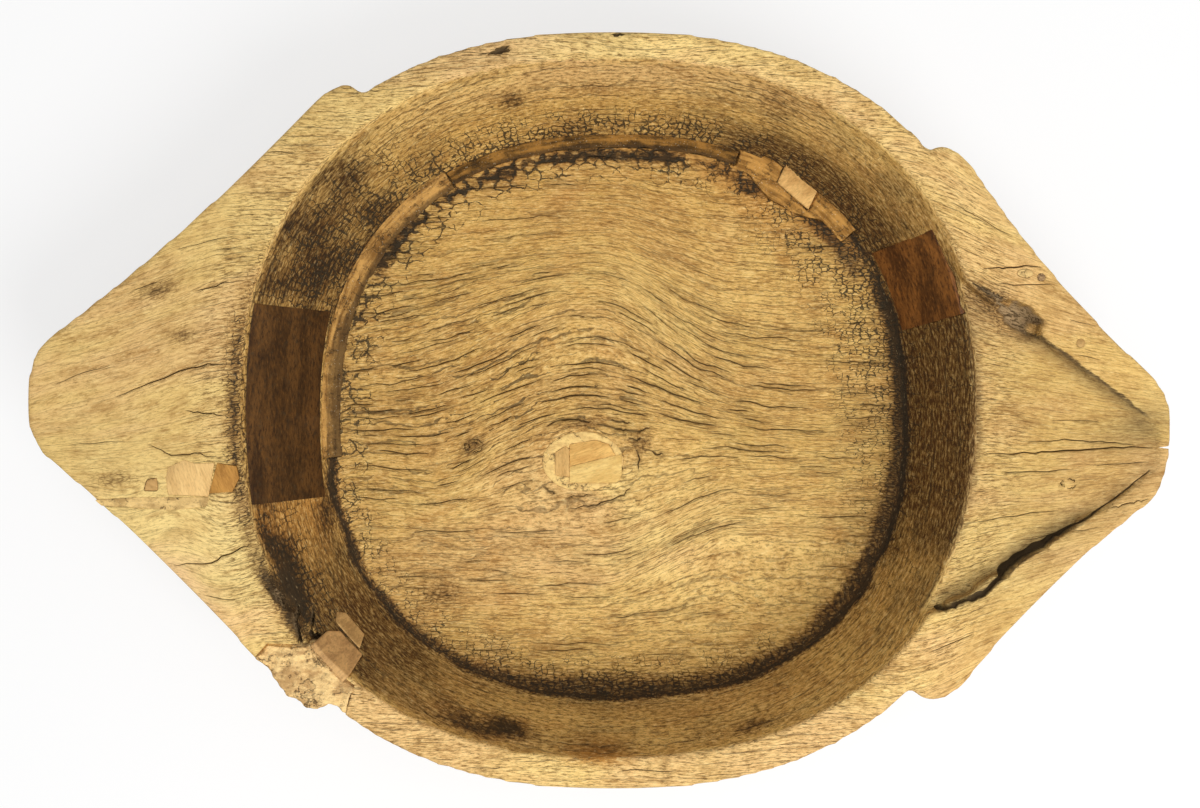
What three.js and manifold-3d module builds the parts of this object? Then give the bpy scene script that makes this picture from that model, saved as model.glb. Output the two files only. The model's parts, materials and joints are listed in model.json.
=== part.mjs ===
// Carved wooden kneading bowl with two lugs, a pouring recess and old mends, each mend a piece of its own.
// Millimetres, +Z up. The origin is on the foot, under the middle of the overall length and width.
// +X points to the lug with the pouring recess, +Y to the far side of the bowl.
import * as THREE from "three";
import { mergeVertices } from "three/addons/utils/BufferGeometryUtils.js";
import Module from "manifold-3d";

const wasm = await Module();
wasm.setup();

// Block: overall sizes
const overallLength = 760;
const overallWidth = 504;
const overallHeight = 140;
const squareness = 2.3; // exponent of every oval, where 2 is an ellipse and more is squarer

// Round body under the lugs
const roundLength = 532;
const roundShift = 9; // its middle lies this far towards the spout
const footLength = 424;
const footWidth = 412;
const belly = 2.4; // how quickly the outside swells above the foot

// Trough
const mouthLength = 492;
const mouthWidth = 464;
const mouthShift = 8;
const mouthSetBack = 2; // the mouth lies this far towards the far side
const floorLength = 424;
const floorWidth = 410;
const floorShift = 13;
const floorSetForward = 6; // the floor lies this far towards the near side
const floorThickness = 32;
const coveRadius = 10; // hollow where the wall meets the floor

// Lugs
const lugTipThickness = 30;
const lugRootThickness = 50;
const leftBackShoulderAngle = 128.6; // degrees round the body, from +X
const leftBackShoulderProud = 17;
const leftFrontShoulderAngle = 226;
const leftFrontShoulderProud = 16;
const rightBackShoulderAngle = 39.2;
const rightBackShoulderProud = 15;
const rightFrontShoulderAngle = 317;
const rightFrontShoulderProud = 22;
const shoulderRound = 26; // length of each leg of a rounded shoulder
const leftBackSag = 5.5; // how far each lug edge bows in
const leftFrontSag = 5;
const rightBackSag = 5.5;
const rightFrontSag = 5.5;
const leftTipBack = 47; // Y of the corners where the blunt tips begin
const leftTipFront = -31;
const leftTipDrop = 13; // length of those rounded corners along X
const leftNose = 5; // Y of the outermost point of each tip
const rightTipBack = 24;
const rightTipFront = -61;
const rightTipDrop = 14;
const rightNose = -7;

// Pouring recess in the right lug
const spoutBackAtMouth = 84;
const spoutFrontAtMouth = -134;
const spoutBackAtTip = -11;
const spoutFrontAtTip = -39;
const spoutFrontBow = 2; // how far the near edge of the recess bows out
const spoutFrontInside = 31; // each edge of the recess starts this far inside the mouth
const spoutBackInside = 10;
const spoutTipMargin = 8; // wood left between the recess and the tip
const spoutDepthAtMouth = 14;
const spoutDepthAtTip = 3;
const rotPocketFromMouth = 25; // middle of the rotted hollow in the back edge of the recess
const rotPocketFromEdge = 2; // and outside that edge
const rotPocketLength = 34;
const rotPocketWidth = 22;
const rotPocketDepth = 17;
const tipCrackY = -24.5;
const tipCrackLength = 30;
const tipCrackWidth = 4;

// Mends
const fit = 0.3; // gap between a mend and the wood round it
const wallPatchThickness = 16;
const leftPatchAngle = 180; // degrees that its wall faces round from the +X axis
const leftPatchWidth = 134;
const leftPatchY = 4;
const leftPatchTop = 8; // below the rim
const leftPatchFoot = 11; // above the floor
const rightPatchAngle = 17;
const rightPatchWidth = 60;
const rightPatchY = 90;
const rightPatchTop = 17;
const rightPatchFoot = 8;
const floorPlugX = -12;
const floorPlugY = -38;
const floorPlugLength = 60;
const floorPlugWidth = 44;
const floorPlugDepth = 18;
const floorWedgeDepth = 16;
const floorWedgeLength = 38;
const floorWedgeWidth = 31;
const floorWedgeShift = 9.5; // middle of the two wedges from the middle of the plug
const floorSlipWidth = 10;
const floorSlipLength = 22;
const lugPlugFromMouth = 33; // middle of the plug from the left edge of the mouth
const lugPlugY = -45;
const lugPlugLength = 32;
const lugPlugWidth = 24;
const lugPlugDepth = 22;
const lugWedgeLength = 18;
const lugWedgeWidth = 20;
const lugWedgeDepth = 20;
const lugChipLength = 10;
const lugChipWidth = 9;
const lugChipDepth = 10;
const lugFillerLength = 76;
const lugFillerWidth = 8;
const lugFillerDepth = 12;
const cornerAngle = 222; // direction of the broken corner, in degrees from +X
const cornerFillerLength = 66;
const cornerFillerReach = 60; // past the outside of the rim there
const cornerFillerInset = 3; // the putty stops this far outside the mouth
const cornerFillerDepth = 24;
const cornerChipLength = 34; // along the wall
const cornerChipFoot = 36; // below the rim
const cornerChipThickness = 4;
const cornerSliverLength = 30;
const cornerSliverTop = 39; // below the rim
const cornerSliverFoot = 58;
const cornerSliverThickness = 6;
const cornerSliverShift = -11; // along the wall from the middle of the chip
const seamRadius = 9; // round section of the putty at the foot of the wall
const seamTopRadius = 6.5;
const seamLeftFrom = 125; // degrees round the floor
const seamLeftTo = 188;
const seamTopFrom = 65;
const seamTopTo = 126;
const seamRightFrom = 38;
const seamRightTo = 66;
const seamPatchWidth = 24; // flat spread of the right-hand putty on the floor
const seamPatchDepth = 6;
const seamChipLength = 34;
const seamChipWidth = 13;
const seamChipDepth = 9;
const seamChipInset = 3; // middle of the chip from the edge of the floor
const cheekFillerFromShoulder = 102; // along the back edge of the right lug
const cheekFillerFromEdge = 20; // and in from that edge
const cheekFillerLength = 11;
const cheekFillerWidth = 6;
const cheekFillerDepth = 16;
const cheekNailFromShoulder = 111;
const cheekNailFromEdge = 13.5;
const cheekNailDiameter = 5.2;
const cheekNailLength = 40;
const cheekPegFromShoulder = 161;
const cheekPegFromEdge = 22;
const cheekPegDiameter = 5.6;
const cheekPegLength = 28;

// Facets
const ovalSides = 96;
const curveSides = 8;
const roundSides = 14;

const above = 12; // cutters reach this far clear of the surface they cut
const rimZ = overallHeight;
const floorZ = floorThickness;
const rad = Math.PI / 180;
const V2 = (x, y) => new THREE.Vector2(x, y);

// Shared shape helpers
const oval = (length, width, shiftX, shiftY) => (angle) => {
  const c = Math.cos(angle);
  const s = Math.sin(angle);
  const reach = (Math.abs(c) * 2 / length) ** squareness + (Math.abs(s) * 2 / width) ** squareness;
  const radius = reach ** (-1 / squareness);
  return V2(shiftX + radius * c, shiftY + radius * s);
};

function solid(geometry) {
  const bare = new THREE.BufferGeometry();
  bare.setAttribute("position", geometry.getAttribute("position"));
  bare.setIndex(geometry.index);
  const merged = mergeVertices(bare, 1e-4);
  return new wasm.Manifold(new wasm.Mesh({
    numProp: 3,
    vertProperties: merged.getAttribute("position").array,
    triVerts: new Uint32Array(merged.index.array),
  }));
}

function loft(rings) {
  const sides = rings[0].length;
  const position = [];
  const index = [];
  rings.forEach((ring) => ring.forEach((p) => position.push(p.x, p.y, p.z)));
  for (let r = 0; r + 1 < rings.length; r++) {
    for (let i = 0; i < sides; i++) {
      const a = r * sides + i;
      const b = r * sides + (i + 1) % sides;
      index.push(a, b, b + sides, a, b + sides, a + sides);
    }
  }
  [0, rings.length - 1].forEach((r) => {
    const middle = new THREE.Vector3();
    rings[r].forEach((p) => middle.addScaledVector(p, 1 / sides));
    const m = position.length / 3;
    position.push(middle.x, middle.y, middle.z);
    for (let i = 0; i < sides; i++) {
      const a = r * sides + i;
      const b = r * sides + (i + 1) % sides;
      index.push(...(r === 0 ? [m, b, a] : [m, a, b]));
    }
  });
  const geometry = new THREE.BufferGeometry();
  geometry.setAttribute("position", new THREE.Float32BufferAttribute(position, 3));
  geometry.setIndex(index);
  return solid(geometry);
}

const ovalRing = (edge, z) => Array.from({ length: ovalSides }, (_, i) => {
  const p = edge(2 * Math.PI * i / ovalSides);
  return new THREE.Vector3(p.x, p.y, z);
});

function prism(shape, low, high) {
  const geometry = new THREE.ExtrudeGeometry(shape, {
    depth: high - low,
    bevelEnabled: false,
    curveSegments: curveSides,
  });
  geometry.translate(0, 0, low);
  return solid(geometry);
}

// A side profile drawn in X and Z, carried across the whole width.
function sideProfile(shape) {
  const geometry = new THREE.ExtrudeGeometry(shape, {
    depth: 2 * overallWidth,
    bevelEnabled: false,
    curveSegments: curveSides,
  });
  geometry.rotateX(Math.PI / 2);
  geometry.translate(0, overallWidth, 0);
  return solid(geometry);
}

// Moves every side of a closed outline out by the same distance.
function grown(points, by) {
  const turn = Math.sign(THREE.ShapeUtils.area(points));
  return points.map((p, i) => {
    const before = points[(i + points.length - 1) % points.length];
    const after = points[(i + 1) % points.length];
    const a = p.clone().sub(before).normalize();
    const b = after.clone().sub(p).normalize();
    const normal = V2(a.y + b.y, -a.x - b.x).normalize();
    const spread = Math.max(0.5, normal.dot(V2(a.y, -a.x)));
    return p.clone().addScaledVector(normal, turn * by / spread);
  });
}

const plug = (points, low, high, by) => prism(new THREE.Shape(grown(points, by)), low - by, high);

// An outline drawn round its own middle, turned and moved into place.
const placed = (points, x, y, degrees) => points.map((p) => {
  return p.clone().rotateAround(V2(0, 0), degrees * rad).add(V2(x, y));
});

const roundOutline = (length, width, sides) => Array.from({ length: sides }, (_, i) => {
  const angle = 2 * Math.PI * i / sides;
  return V2(length / 2 * Math.cos(angle), width / 2 * Math.sin(angle));
});

// Carved block
const bodyEdge = oval(roundLength, overallWidth, roundShift, 0);
const bodySteps = 7;
const bodyRings = Array.from({ length: bodySteps + 1 }, (_, i) => {
  const swell = 1 - (1 - i / bodySteps) ** belly;
  const length = THREE.MathUtils.lerp(footLength, roundLength, swell);
  const width = THREE.MathUtils.lerp(footWidth, overallWidth, swell);
  return ovalRing(oval(length, width, roundShift, 0), rimZ * i / bodySteps);
});

const shoulder = (degrees, proud) => {
  const middle = V2(roundShift, 0);
  const edge = bodyEdge(degrees * rad);
  const out = edge.clone().sub(middle).normalize();
  return {
    corner: edge.clone().addScaledVector(out, proud),
    root: edge.clone().addScaledVector(out, -proud),
  };
};

function lugOutline(side, back, front, backSag, frontSag, tipBack, tipFront, tipDrop, noseY) {
  const tipX = side * overallLength / 2;
  const backTip = V2(tipX - side * tipDrop, tipBack);
  const frontTip = V2(tipX - side * tipDrop, tipFront);
  const middle = V2(roundShift, 0);
  const rounded = (corner, towards) => corner.clone().add(
    towards.clone().sub(corner).setLength(shoulderRound));
  const bowed = (from, to, sag) => {
    const half = from.clone().add(to).multiplyScalar(0.5);
    const inward = V2(to.y - from.y, from.x - to.x).normalize();
    if (inward.dot(middle.clone().sub(half)) < 0) inward.negate();
    return half.addScaledVector(inward, 2 * sag);
  };
  const backLeg = rounded(back.corner, backTip);
  const frontLeg = rounded(front.corner, frontTip);
  const backBow = bowed(backLeg, backTip, backSag);
  const frontBow = bowed(frontTip, frontLeg, frontSag);
  const nose = V2(tipX, noseY);
  const startAt = (end) => end.root.clone().lerp(end.corner, 0.6).toArray();
  const shape = new THREE.Shape();
  shape.moveTo(roundShift, 0);
  shape.lineTo(back.root.x, back.root.y);
  shape.lineTo(...startAt(back));
  shape.quadraticCurveTo(back.corner.x, back.corner.y, backLeg.x, backLeg.y);
  shape.quadraticCurveTo(backBow.x, backBow.y, backTip.x, backTip.y);
  shape.quadraticCurveTo(tipX, tipBack - tipDrop, nose.x, nose.y);
  shape.quadraticCurveTo(tipX, tipFront + tipDrop, frontTip.x, frontTip.y);
  shape.quadraticCurveTo(frontBow.x, frontBow.y, frontLeg.x, frontLeg.y);
  shape.quadraticCurveTo(front.corner.x, front.corner.y, ...startAt(front));
  shape.lineTo(front.root.x, front.root.y);
  shape.closePath();
  return shape;
}

function lugSide(side) {
  const tipX = side * (overallLength / 2 + above);
  const rootX = roundShift + side * roundLength / 2;
  const shape = new THREE.Shape();
  shape.moveTo(roundShift, rimZ);
  shape.lineTo(tipX, rimZ);
  shape.lineTo(tipX, rimZ - lugTipThickness);
  shape.quadraticCurveTo((tipX + rootX) / 2, rimZ - lugTipThickness, rootX, rimZ - lugRootThickness);
  shape.lineTo(roundShift, rimZ - lugRootThickness);
  shape.closePath();
  return shape;
}

const leftLug = prism(lugOutline(
  -1,
  shoulder(leftBackShoulderAngle, leftBackShoulderProud),
  shoulder(leftFrontShoulderAngle, leftFrontShoulderProud),
  leftBackSag, leftFrontSag, leftTipBack, leftTipFront, leftTipDrop, leftNose,
), 0, rimZ).intersect(sideProfile(lugSide(-1)));

const rightBackShoulder = shoulder(rightBackShoulderAngle, rightBackShoulderProud);
const rightLug = prism(lugOutline(
  1,
  rightBackShoulder,
  shoulder(rightFrontShoulderAngle, rightFrontShoulderProud),
  rightBackSag, rightFrontSag, rightTipBack, rightTipFront, rightTipDrop, rightNose,
), 0, rimZ).intersect(sideProfile(lugSide(1)));

// Trough: its wall runs straight from the mouth to the floor, with a cove at the foot
const wallEdge = (z, inset) => {
  const up = (z - floorZ) / (rimZ - floorZ);
  return oval(
    THREE.MathUtils.lerp(floorLength, mouthLength, up) - 2 * inset,
    THREE.MathUtils.lerp(floorWidth, mouthWidth, up) - 2 * inset,
    THREE.MathUtils.lerp(floorShift, mouthShift, up),
    THREE.MathUtils.lerp(-floorSetForward, mouthSetBack, up),
  );
};
const coveSteps = 4;
const coveRings = Array.from({ length: coveSteps + 1 }, (_, i) => {
  const turn = Math.PI / 2 * i / coveSteps;
  const z = floorZ + coveRadius * (1 - Math.cos(turn));
  return ovalRing(wallEdge(z, coveRadius * (1 - Math.sin(turn))), z);
});
const wallSteps = 2;
const wallRings = Array.from({ length: wallSteps }, (_, i) => {
  const z = THREE.MathUtils.lerp(floorZ + coveRadius, rimZ + above, (i + 1) / wallSteps);
  return ovalRing(wallEdge(z, 0), z);
});
const trough = loft([...coveRings, ...wallRings]);

// Pouring recess: a tapered channel that rises towards the tip
const mouthRight = mouthShift + mouthLength / 2;
const mouthLeft = mouthShift - mouthLength / 2;
const tipRight = overallLength / 2;
const spoutFrontRoot = V2(mouthRight - spoutFrontInside, spoutFrontAtMouth);
const spoutFrontEnd = V2(tipRight - spoutTipMargin, spoutFrontAtTip);
const spoutFrontRun = spoutFrontEnd.clone().sub(spoutFrontRoot);
const spoutFrontMiddle = spoutFrontRoot.clone().lerp(spoutFrontEnd, 0.5)
  .addScaledVector(V2(spoutFrontRun.y, -spoutFrontRun.x).normalize(), 2 * spoutFrontBow);
const spoutBackRoot = V2(mouthRight - spoutBackInside, spoutBackAtMouth);
const spoutBackEnd = V2(tipRight - spoutTipMargin, spoutBackAtTip);
const spoutPlan = new THREE.Shape();
spoutPlan.moveTo(mouthShift, spoutFrontAtMouth);
spoutPlan.lineTo(spoutFrontRoot.x, spoutFrontRoot.y);
spoutPlan.quadraticCurveTo(spoutFrontMiddle.x, spoutFrontMiddle.y, spoutFrontEnd.x, spoutFrontEnd.y);
spoutPlan.lineTo(spoutBackEnd.x, spoutBackEnd.y);
spoutPlan.lineTo(spoutBackRoot.x, spoutBackRoot.y);
spoutPlan.lineTo(mouthShift, spoutBackAtMouth);
spoutPlan.closePath();
const spoutSide = new THREE.Shape([
  V2(mouthShift, rimZ + above),
  V2(mouthShift, rimZ - spoutDepthAtMouth),
  V2(mouthRight, rimZ - spoutDepthAtMouth),
  V2(tipRight, rimZ - spoutDepthAtTip),
  V2(tipRight, rimZ + above),
]);
const spout = prism(spoutPlan, floorZ, rimZ + above).intersect(sideProfile(spoutSide));
const rotOutline = roundOutline(rotPocketLength, rotPocketWidth, roundSides);
const rotX = mouthRight + rotPocketFromMouth;
const rotAlong = (rotX - spoutBackRoot.x) / (spoutBackEnd.x - spoutBackRoot.x);
const rotY = THREE.MathUtils.lerp(spoutBackRoot.y, spoutBackEnd.y, rotAlong) + rotPocketFromEdge;
const rotPocket = plug(
  placed(rotOutline, rotX, rotY, -35), rimZ - rotPocketDepth, rimZ + above, 0);
const tipCrack = prism(new THREE.Shape([
  V2(tipRight - tipCrackLength, tipCrackY),
  V2(tipRight + above, tipCrackY - tipCrackWidth / 2),
  V2(tipRight + above, tipCrackY + tipCrackWidth / 2),
]), 0, rimZ + above);

const block = loft(bodyRings).add(leftLug).add(rightLug)
  .subtract(trough).subtract(spout).subtract(rotPocket).subtract(tipCrack);

// Points up the trough wall: at a given Y on the side that faces a given way, or in a given direction
const wallAtY = (towards, y) => (z) => {
  const edge = wallEdge(z, 0);
  let low = (towards - 60) * rad;
  let high = (towards + 60) * rad;
  const rising = edge(high).y > edge(low).y;
  for (let i = 0; i < 40; i++) {
    const half = (low + high) / 2;
    if ((edge(half).y < y) === rising) low = half;
    else high = half;
  }
  const p = edge(low);
  return new THREE.Vector3(p.x, p.y, z);
};
const wallTowards = (towards) => (z) => {
  const p = wallEdge(z, 0)(towards * rad);
  return new THREE.Vector3(p.x, p.y, z);
};

// A piece let into the trough wall: an outline drawn on the wall, its back parallel to the wall
const letIn = (towards, onWall, highZ, lowZ, outline, thickness) => (by) => {
  const out = V2(Math.cos(towards * rad), Math.sin(towards * rad));
  const along = new THREE.Vector3(-out.y, out.x, 0);
  const high = onWall(highZ);
  const low = onWall(lowZ);
  const up = high.clone().sub(low);
  up.addScaledVector(along, -up.dot(along));
  const height = up.length();
  up.normalize();
  const deep = along.clone().cross(up).normalize();
  if (deep.x * out.x + deep.y * out.y < 0) deep.negate();
  const front = 3 * wallPatchThickness;
  const geometry = new THREE.ExtrudeGeometry(new THREE.Shape(grown(outline(height), by)), {
    depth: front + thickness + by,
    bevelEnabled: false,
  });
  geometry.translate(0, 0, -front);
  const middle = high.clone().add(low).multiplyScalar(0.5);
  const side = up.clone().cross(deep);
  geometry.applyMatrix4(new THREE.Matrix4().makeBasis(side, up, deep).setPosition(middle));
  return solid(geometry);
};
const wallPanel = (towards, y, width, top, foot) => letIn(
  towards, wallAtY(towards, y), rimZ - top, floorZ + foot,
  (height) => [
    V2(-width / 2, -height / 2),
    V2(width / 2, -height / 2),
    V2(width / 2, height / 2),
    V2(-width / 2, height / 2),
  ],
  wallPatchThickness,
);

// Putty run along the foot of the wall, as a round section half sunk into the corner
const seamRun = (from, to, radius) => (by) => {
  const over = coveRadius * (1 - Math.SQRT1_2);
  const edge = wallEdge(floorZ + over, over);
  const steps = 14;
  const reach = by / (floorLength / 2);
  const points = Array.from({ length: steps + 1 }, (_, i) => {
    const p = edge(THREE.MathUtils.lerp(from * rad - reach, to * rad + reach, i / steps));
    return new THREE.Vector3(p.x, p.y, floorZ + over);
  });
  const section = new THREE.Shape(roundOutline(2 * (radius + by), 2 * (radius + by), 10));
  return solid(new THREE.ExtrudeGeometry(section, {
    steps: 2 * steps,
    bevelEnabled: false,
    extrudePath: new THREE.CatmullRomCurve3(points),
  }));
};

// Plug in the knot hole of the floor: two wedges, a slip beside them and putty round all three
const wedgeX = floorPlugX + floorWedgeShift;
const wedgeHalf = floorWedgeLength / 2;
const wedgeJoint = floorWedgeWidth / 8; // the joint rises by this much to either side of the middle
const lightWedge = [
  V2(-wedgeHalf, -floorWedgeWidth / 2),
  V2(wedgeHalf * 0.8, -floorWedgeWidth / 2),
  V2(wedgeHalf, -floorWedgeWidth / 3),
  V2(wedgeHalf, floorWedgeWidth / 6),
  V2(wedgeHalf * 0.75, wedgeJoint + fit),
  V2(-wedgeHalf, -wedgeJoint),
];
const darkWedge = [
  V2(-wedgeHalf, -wedgeJoint + 2 * fit),
  V2(wedgeHalf * 0.75, wedgeJoint + 3 * fit),
  V2(wedgeHalf * 0.5, floorWedgeWidth * 0.4),
  V2(0, floorWedgeWidth / 2),
  V2(-wedgeHalf, floorWedgeWidth * 0.4),
];
const slipX = wedgeX - wedgeHalf - floorSlipWidth / 2 - 2 * fit;
const slip = [
  V2(-floorSlipWidth / 2, -floorSlipLength * 0.45),
  V2(floorSlipWidth / 2, -floorSlipLength / 2),
  V2(floorSlipWidth / 2, floorSlipLength * 0.4),
  V2(floorSlipWidth / 4, floorSlipLength / 2),
  V2(-floorSlipWidth / 2, floorSlipLength * 0.3),
];
const knotHole = roundOutline(floorPlugLength, floorPlugWidth, 20);
const floorWedge = (points, x) => (by) => plug(
  placed(points, x, floorPlugY, 0), floorZ - floorWedgeDepth, floorZ + above, by);
const floorFiller = (by) => plug(
  placed(knotHole, floorPlugX, floorPlugY, 0), floorZ - floorPlugDepth, floorZ + above, by);

// Mend in the left lug: plug, wedge, chip and the putty along the crack
const lugPlugX = mouthLeft - lugPlugFromMouth;
const lugPlugOutline = [
  V2(-lugPlugLength / 2, 0),
  V2(-lugPlugLength * 0.45, -lugPlugWidth * 0.45),
  V2(lugPlugLength * 0.38, -lugPlugWidth / 2),
  V2(lugPlugLength / 2, lugPlugWidth * 0.42),
  V2(lugPlugLength * 0.1, lugPlugWidth * 0.4),
  V2(-lugPlugLength * 0.12, lugPlugWidth / 2),
  V2(-lugPlugLength * 0.45, lugPlugWidth * 0.3),
];
const lugWedgeX = lugPlugX + lugPlugLength * 0.44 + fit + lugWedgeLength / 2;
const lugWedgeOutline = [
  V2(-lugWedgeLength * 0.6, -lugWedgeWidth / 2),
  V2(lugWedgeLength * 0.25, -lugWedgeWidth * 0.45),
  V2(lugWedgeLength / 2, 0),
  V2(lugWedgeLength * 0.4, lugWedgeWidth * 0.4),
  V2(-lugWedgeLength * 0.3, lugWedgeWidth / 2),
];
const lugChipX = lugPlugX - lugPlugLength / 2 - lugChipLength;
const lugChipY = lugPlugY - lugPlugWidth / 6;
const lugChipOutline = [
  V2(-lugChipLength / 2, -lugChipWidth / 2),
  V2(lugChipLength / 2, -lugChipWidth / 2),
  V2(lugChipLength * 0.4, lugChipWidth / 2),
  V2(-lugChipLength * 0.3, lugChipWidth * 0.35),
];
const lugFillerX = lugPlugX + lugPlugLength * 0.4;
const lugFillerY = lugPlugY - lugPlugWidth / 2 - 3 * fit;
const lugFillerOutline = [
  V2(0, 0),
  V2(-lugFillerLength * 0.65, 0),
  V2(-lugFillerLength, -lugFillerWidth * 0.2),
  V2(-lugFillerLength, -lugFillerWidth * 0.6),
  V2(-lugFillerLength * 0.6, -lugFillerWidth * 0.85),
  V2(-lugFillerLength * 0.3, -lugFillerWidth),
  V2(-lugFillerWidth * 0.3, -lugFillerWidth * 0.7),
];
const fromTop = (points, x, y, degrees, depth) => (by) => plug(
  placed(points, x, y, degrees), rimZ - depth, rimZ + above, by);

// Broken corner of the rim, made up with putty, a chip and a sliver
const mouthEdge = wallEdge(rimZ, 0)(cornerAngle * rad);
const cornerOutline = [
  V2(cornerFillerReach, -cornerFillerLength * 0.5),
  V2(cornerFillerReach, cornerFillerLength * 0.5),
  V2(cornerFillerReach * 0.3, cornerFillerLength * 0.55),
  V2(0, cornerFillerLength * 0.35),
  V2(cornerFillerInset, cornerFillerLength * 0.1),
  V2(cornerFillerInset, -cornerFillerLength * 0.25),
  V2(cornerFillerReach * 0.4, -cornerFillerLength * 0.55),
];
const cornerChip = letIn(
  cornerAngle, wallTowards(cornerAngle), rimZ + above, rimZ - cornerChipFoot,
  (height) => [
    V2(-cornerChipLength / 2, height / 2),
    V2(-cornerChipLength / 2, -height / 4),
    V2(-cornerChipLength / 3, -height / 2),
    V2(cornerChipLength / 3, -height / 2),
    V2(cornerChipLength / 2, height / 2),
  ],
  cornerChipThickness,
);
const cornerSliver = letIn(
  cornerAngle, wallTowards(cornerAngle), rimZ - cornerSliverTop, rimZ - cornerSliverFoot,
  (height) => placed([
    V2(-cornerSliverLength / 2, 0),
    V2(-cornerSliverLength / 3, -height / 2),
    V2(cornerSliverLength / 3, -height / 2),
    V2(cornerSliverLength / 2, height / 2),
    V2(-cornerSliverLength / 3, height / 2),
  ], cornerSliverShift, 0, 0),
  cornerSliverThickness,
);

// Putty at the foot of the wall on the upper right, with the chip bedded in it
const seamAngle = (seamRightFrom + seamRightTo) / 2 * rad;
const seamEdge = wallEdge(floorZ, 0)(seamAngle);
const seamOut = seamEdge.clone().sub(V2(floorShift, -floorSetForward)).normalize();
const seamTurn = Math.atan2(seamOut.y, seamOut.x) / rad;
const seamAt = (back) => seamEdge.clone().addScaledVector(seamOut, -back);
const seamSpread = [
  V2(seamPatchWidth / 2, -seamPatchWidth * 1.4),
  V2(seamPatchWidth / 2, seamPatchWidth * 1.4),
  V2(-seamPatchWidth / 4, seamPatchWidth * 1.5),
  V2(-seamPatchWidth / 2, seamPatchWidth / 2),
  V2(-seamPatchWidth / 3, -seamPatchWidth / 2),
  V2(0, -seamPatchWidth * 1.3),
];
const seamChipOutline = [
  V2(-seamChipWidth / 2, -seamChipLength / 2),
  V2(seamChipWidth / 2, -seamChipLength * 0.4),
  V2(seamChipWidth / 2, seamChipLength / 2),
  V2(-seamChipWidth * 0.4, seamChipLength * 0.4),
];
const seamSpreadPlace = seamAt(seamPatchWidth * 0.4);
const seamChipPlace = seamAt(seamChipInset);
const seamRight = (by) => seamRun(seamRightFrom, seamRightTo, seamRadius)(by).add(plug(
  placed(seamSpread, seamSpreadPlace.x, seamSpreadPlace.y, seamTurn),
  floorZ - seamPatchDepth, floorZ + above, by,
));
const seamChip = (by) => plug(
  placed(seamChipOutline, seamChipPlace.x, seamChipPlace.y, seamTurn),
  floorZ - seamChipDepth, floorZ + 2 * above, by,
);

// Old hole, nail and peg in the right lug
const cheekHole = roundOutline(cheekFillerLength, cheekFillerWidth, roundSides);
const cheekNail = roundOutline(cheekNailDiameter, cheekNailDiameter, roundSides);
const cheekPeg = roundOutline(cheekPegDiameter, cheekPegDiameter, roundSides);
const cheekCorner = rightBackShoulder.corner;
const cheekRun = V2(tipRight - rightTipDrop, rightTipBack).sub(cheekCorner).normalize();
const onCheek = (points, along, inset, depth) => fromTop(
  points,
  cheekCorner.x + cheekRun.x * along + cheekRun.y * inset,
  cheekCorner.y + cheekRun.y * along - cheekRun.x * inset,
  0, depth,
);

// Finishes
const wood = (color, roughness) => new THREE.MeshStandardMaterial({ color, roughness, metalness: 0 });
const oldWood = wood(0xb68a52, 0.75);
const darkWood = wood(0x4a2f22, 0.65);
const redWood = wood(0x7a4527, 0.65);
const paleWood = wood(0xd9b878, 0.7);
const brownWood = wood(0x9a6536, 0.7);
const putty = wood(0xa98b5f, 0.9);
const iron = new THREE.MeshStandardMaterial({ color: 0x5a4632, roughness: 0.6, metalness: 0.6 });

// Each mend is cut from the block by its own cutter; those named first keep their full shape
const mends = [
  ["left_wall_patch", darkWood,
    wallPanel(leftPatchAngle, leftPatchY, leftPatchWidth, leftPatchTop, leftPatchFoot)],
  ["right_wall_patch", redWood,
    wallPanel(rightPatchAngle, rightPatchY, rightPatchWidth, rightPatchTop, rightPatchFoot)],
  ["floor_plug_light", paleWood, floorWedge(lightWedge, wedgeX)],
  ["floor_plug_dark", brownWood, floorWedge(darkWedge, wedgeX)],
  ["floor_plug_side", brownWood, floorWedge(slip, slipX)],
  ["floor_plug_filler", putty, floorFiller],
  ["lug_plug", paleWood, fromTop(lugPlugOutline, lugPlugX, lugPlugY, 0, lugPlugDepth)],
  ["lug_wedge", brownWood, fromTop(lugWedgeOutline, lugWedgeX, lugPlugY, 0, lugWedgeDepth)],
  ["lug_chip", paleWood, fromTop(lugChipOutline, lugChipX, lugChipY, 0, lugChipDepth)],
  ["lug_filler", putty, fromTop(lugFillerOutline, lugFillerX, lugFillerY, 0, lugFillerDepth)],
  ["corner_chip", brownWood, cornerChip],
  ["corner_sliver", paleWood, cornerSliver],
  ["corner_filler", putty,
    fromTop(cornerOutline, mouthEdge.x, mouthEdge.y, cornerAngle, cornerFillerDepth)],
  ["seam_chip", paleWood, seamChip],
  ["seam_filler_left", putty, seamRun(seamLeftFrom, seamLeftTo, seamRadius)],
  ["seam_filler_top", putty, seamRun(seamTopFrom, seamTopTo, seamTopRadius)],
  ["seam_filler_right", putty, seamRight],
  ["cheek_filler", putty,
    onCheek(cheekHole, cheekFillerFromShoulder, cheekFillerFromEdge, cheekFillerDepth)],
  ["cheek_nail", iron,
    onCheek(cheekNail, cheekNailFromShoulder, cheekNailFromEdge, cheekNailLength)],
  ["cheek_peg", brownWood,
    onCheek(cheekPeg, cheekPegFromShoulder, cheekPegFromEdge, cheekPegLength)],
];

const bowl = new THREE.Group();
bowl.name = "kneading_bowl";

function add(name, material, shape) {
  const mesh = shape.getMesh();
  const geometry = new THREE.BufferGeometry();
  geometry.setAttribute("position", new THREE.BufferAttribute(mesh.vertProperties, 3));
  geometry.setIndex(new THREE.BufferAttribute(mesh.triVerts, 1));
  geometry.computeVertexNormals();
  const piece = new THREE.Mesh(geometry, material.clone());
  piece.name = name;
  bowl.add(piece);
}

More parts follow.
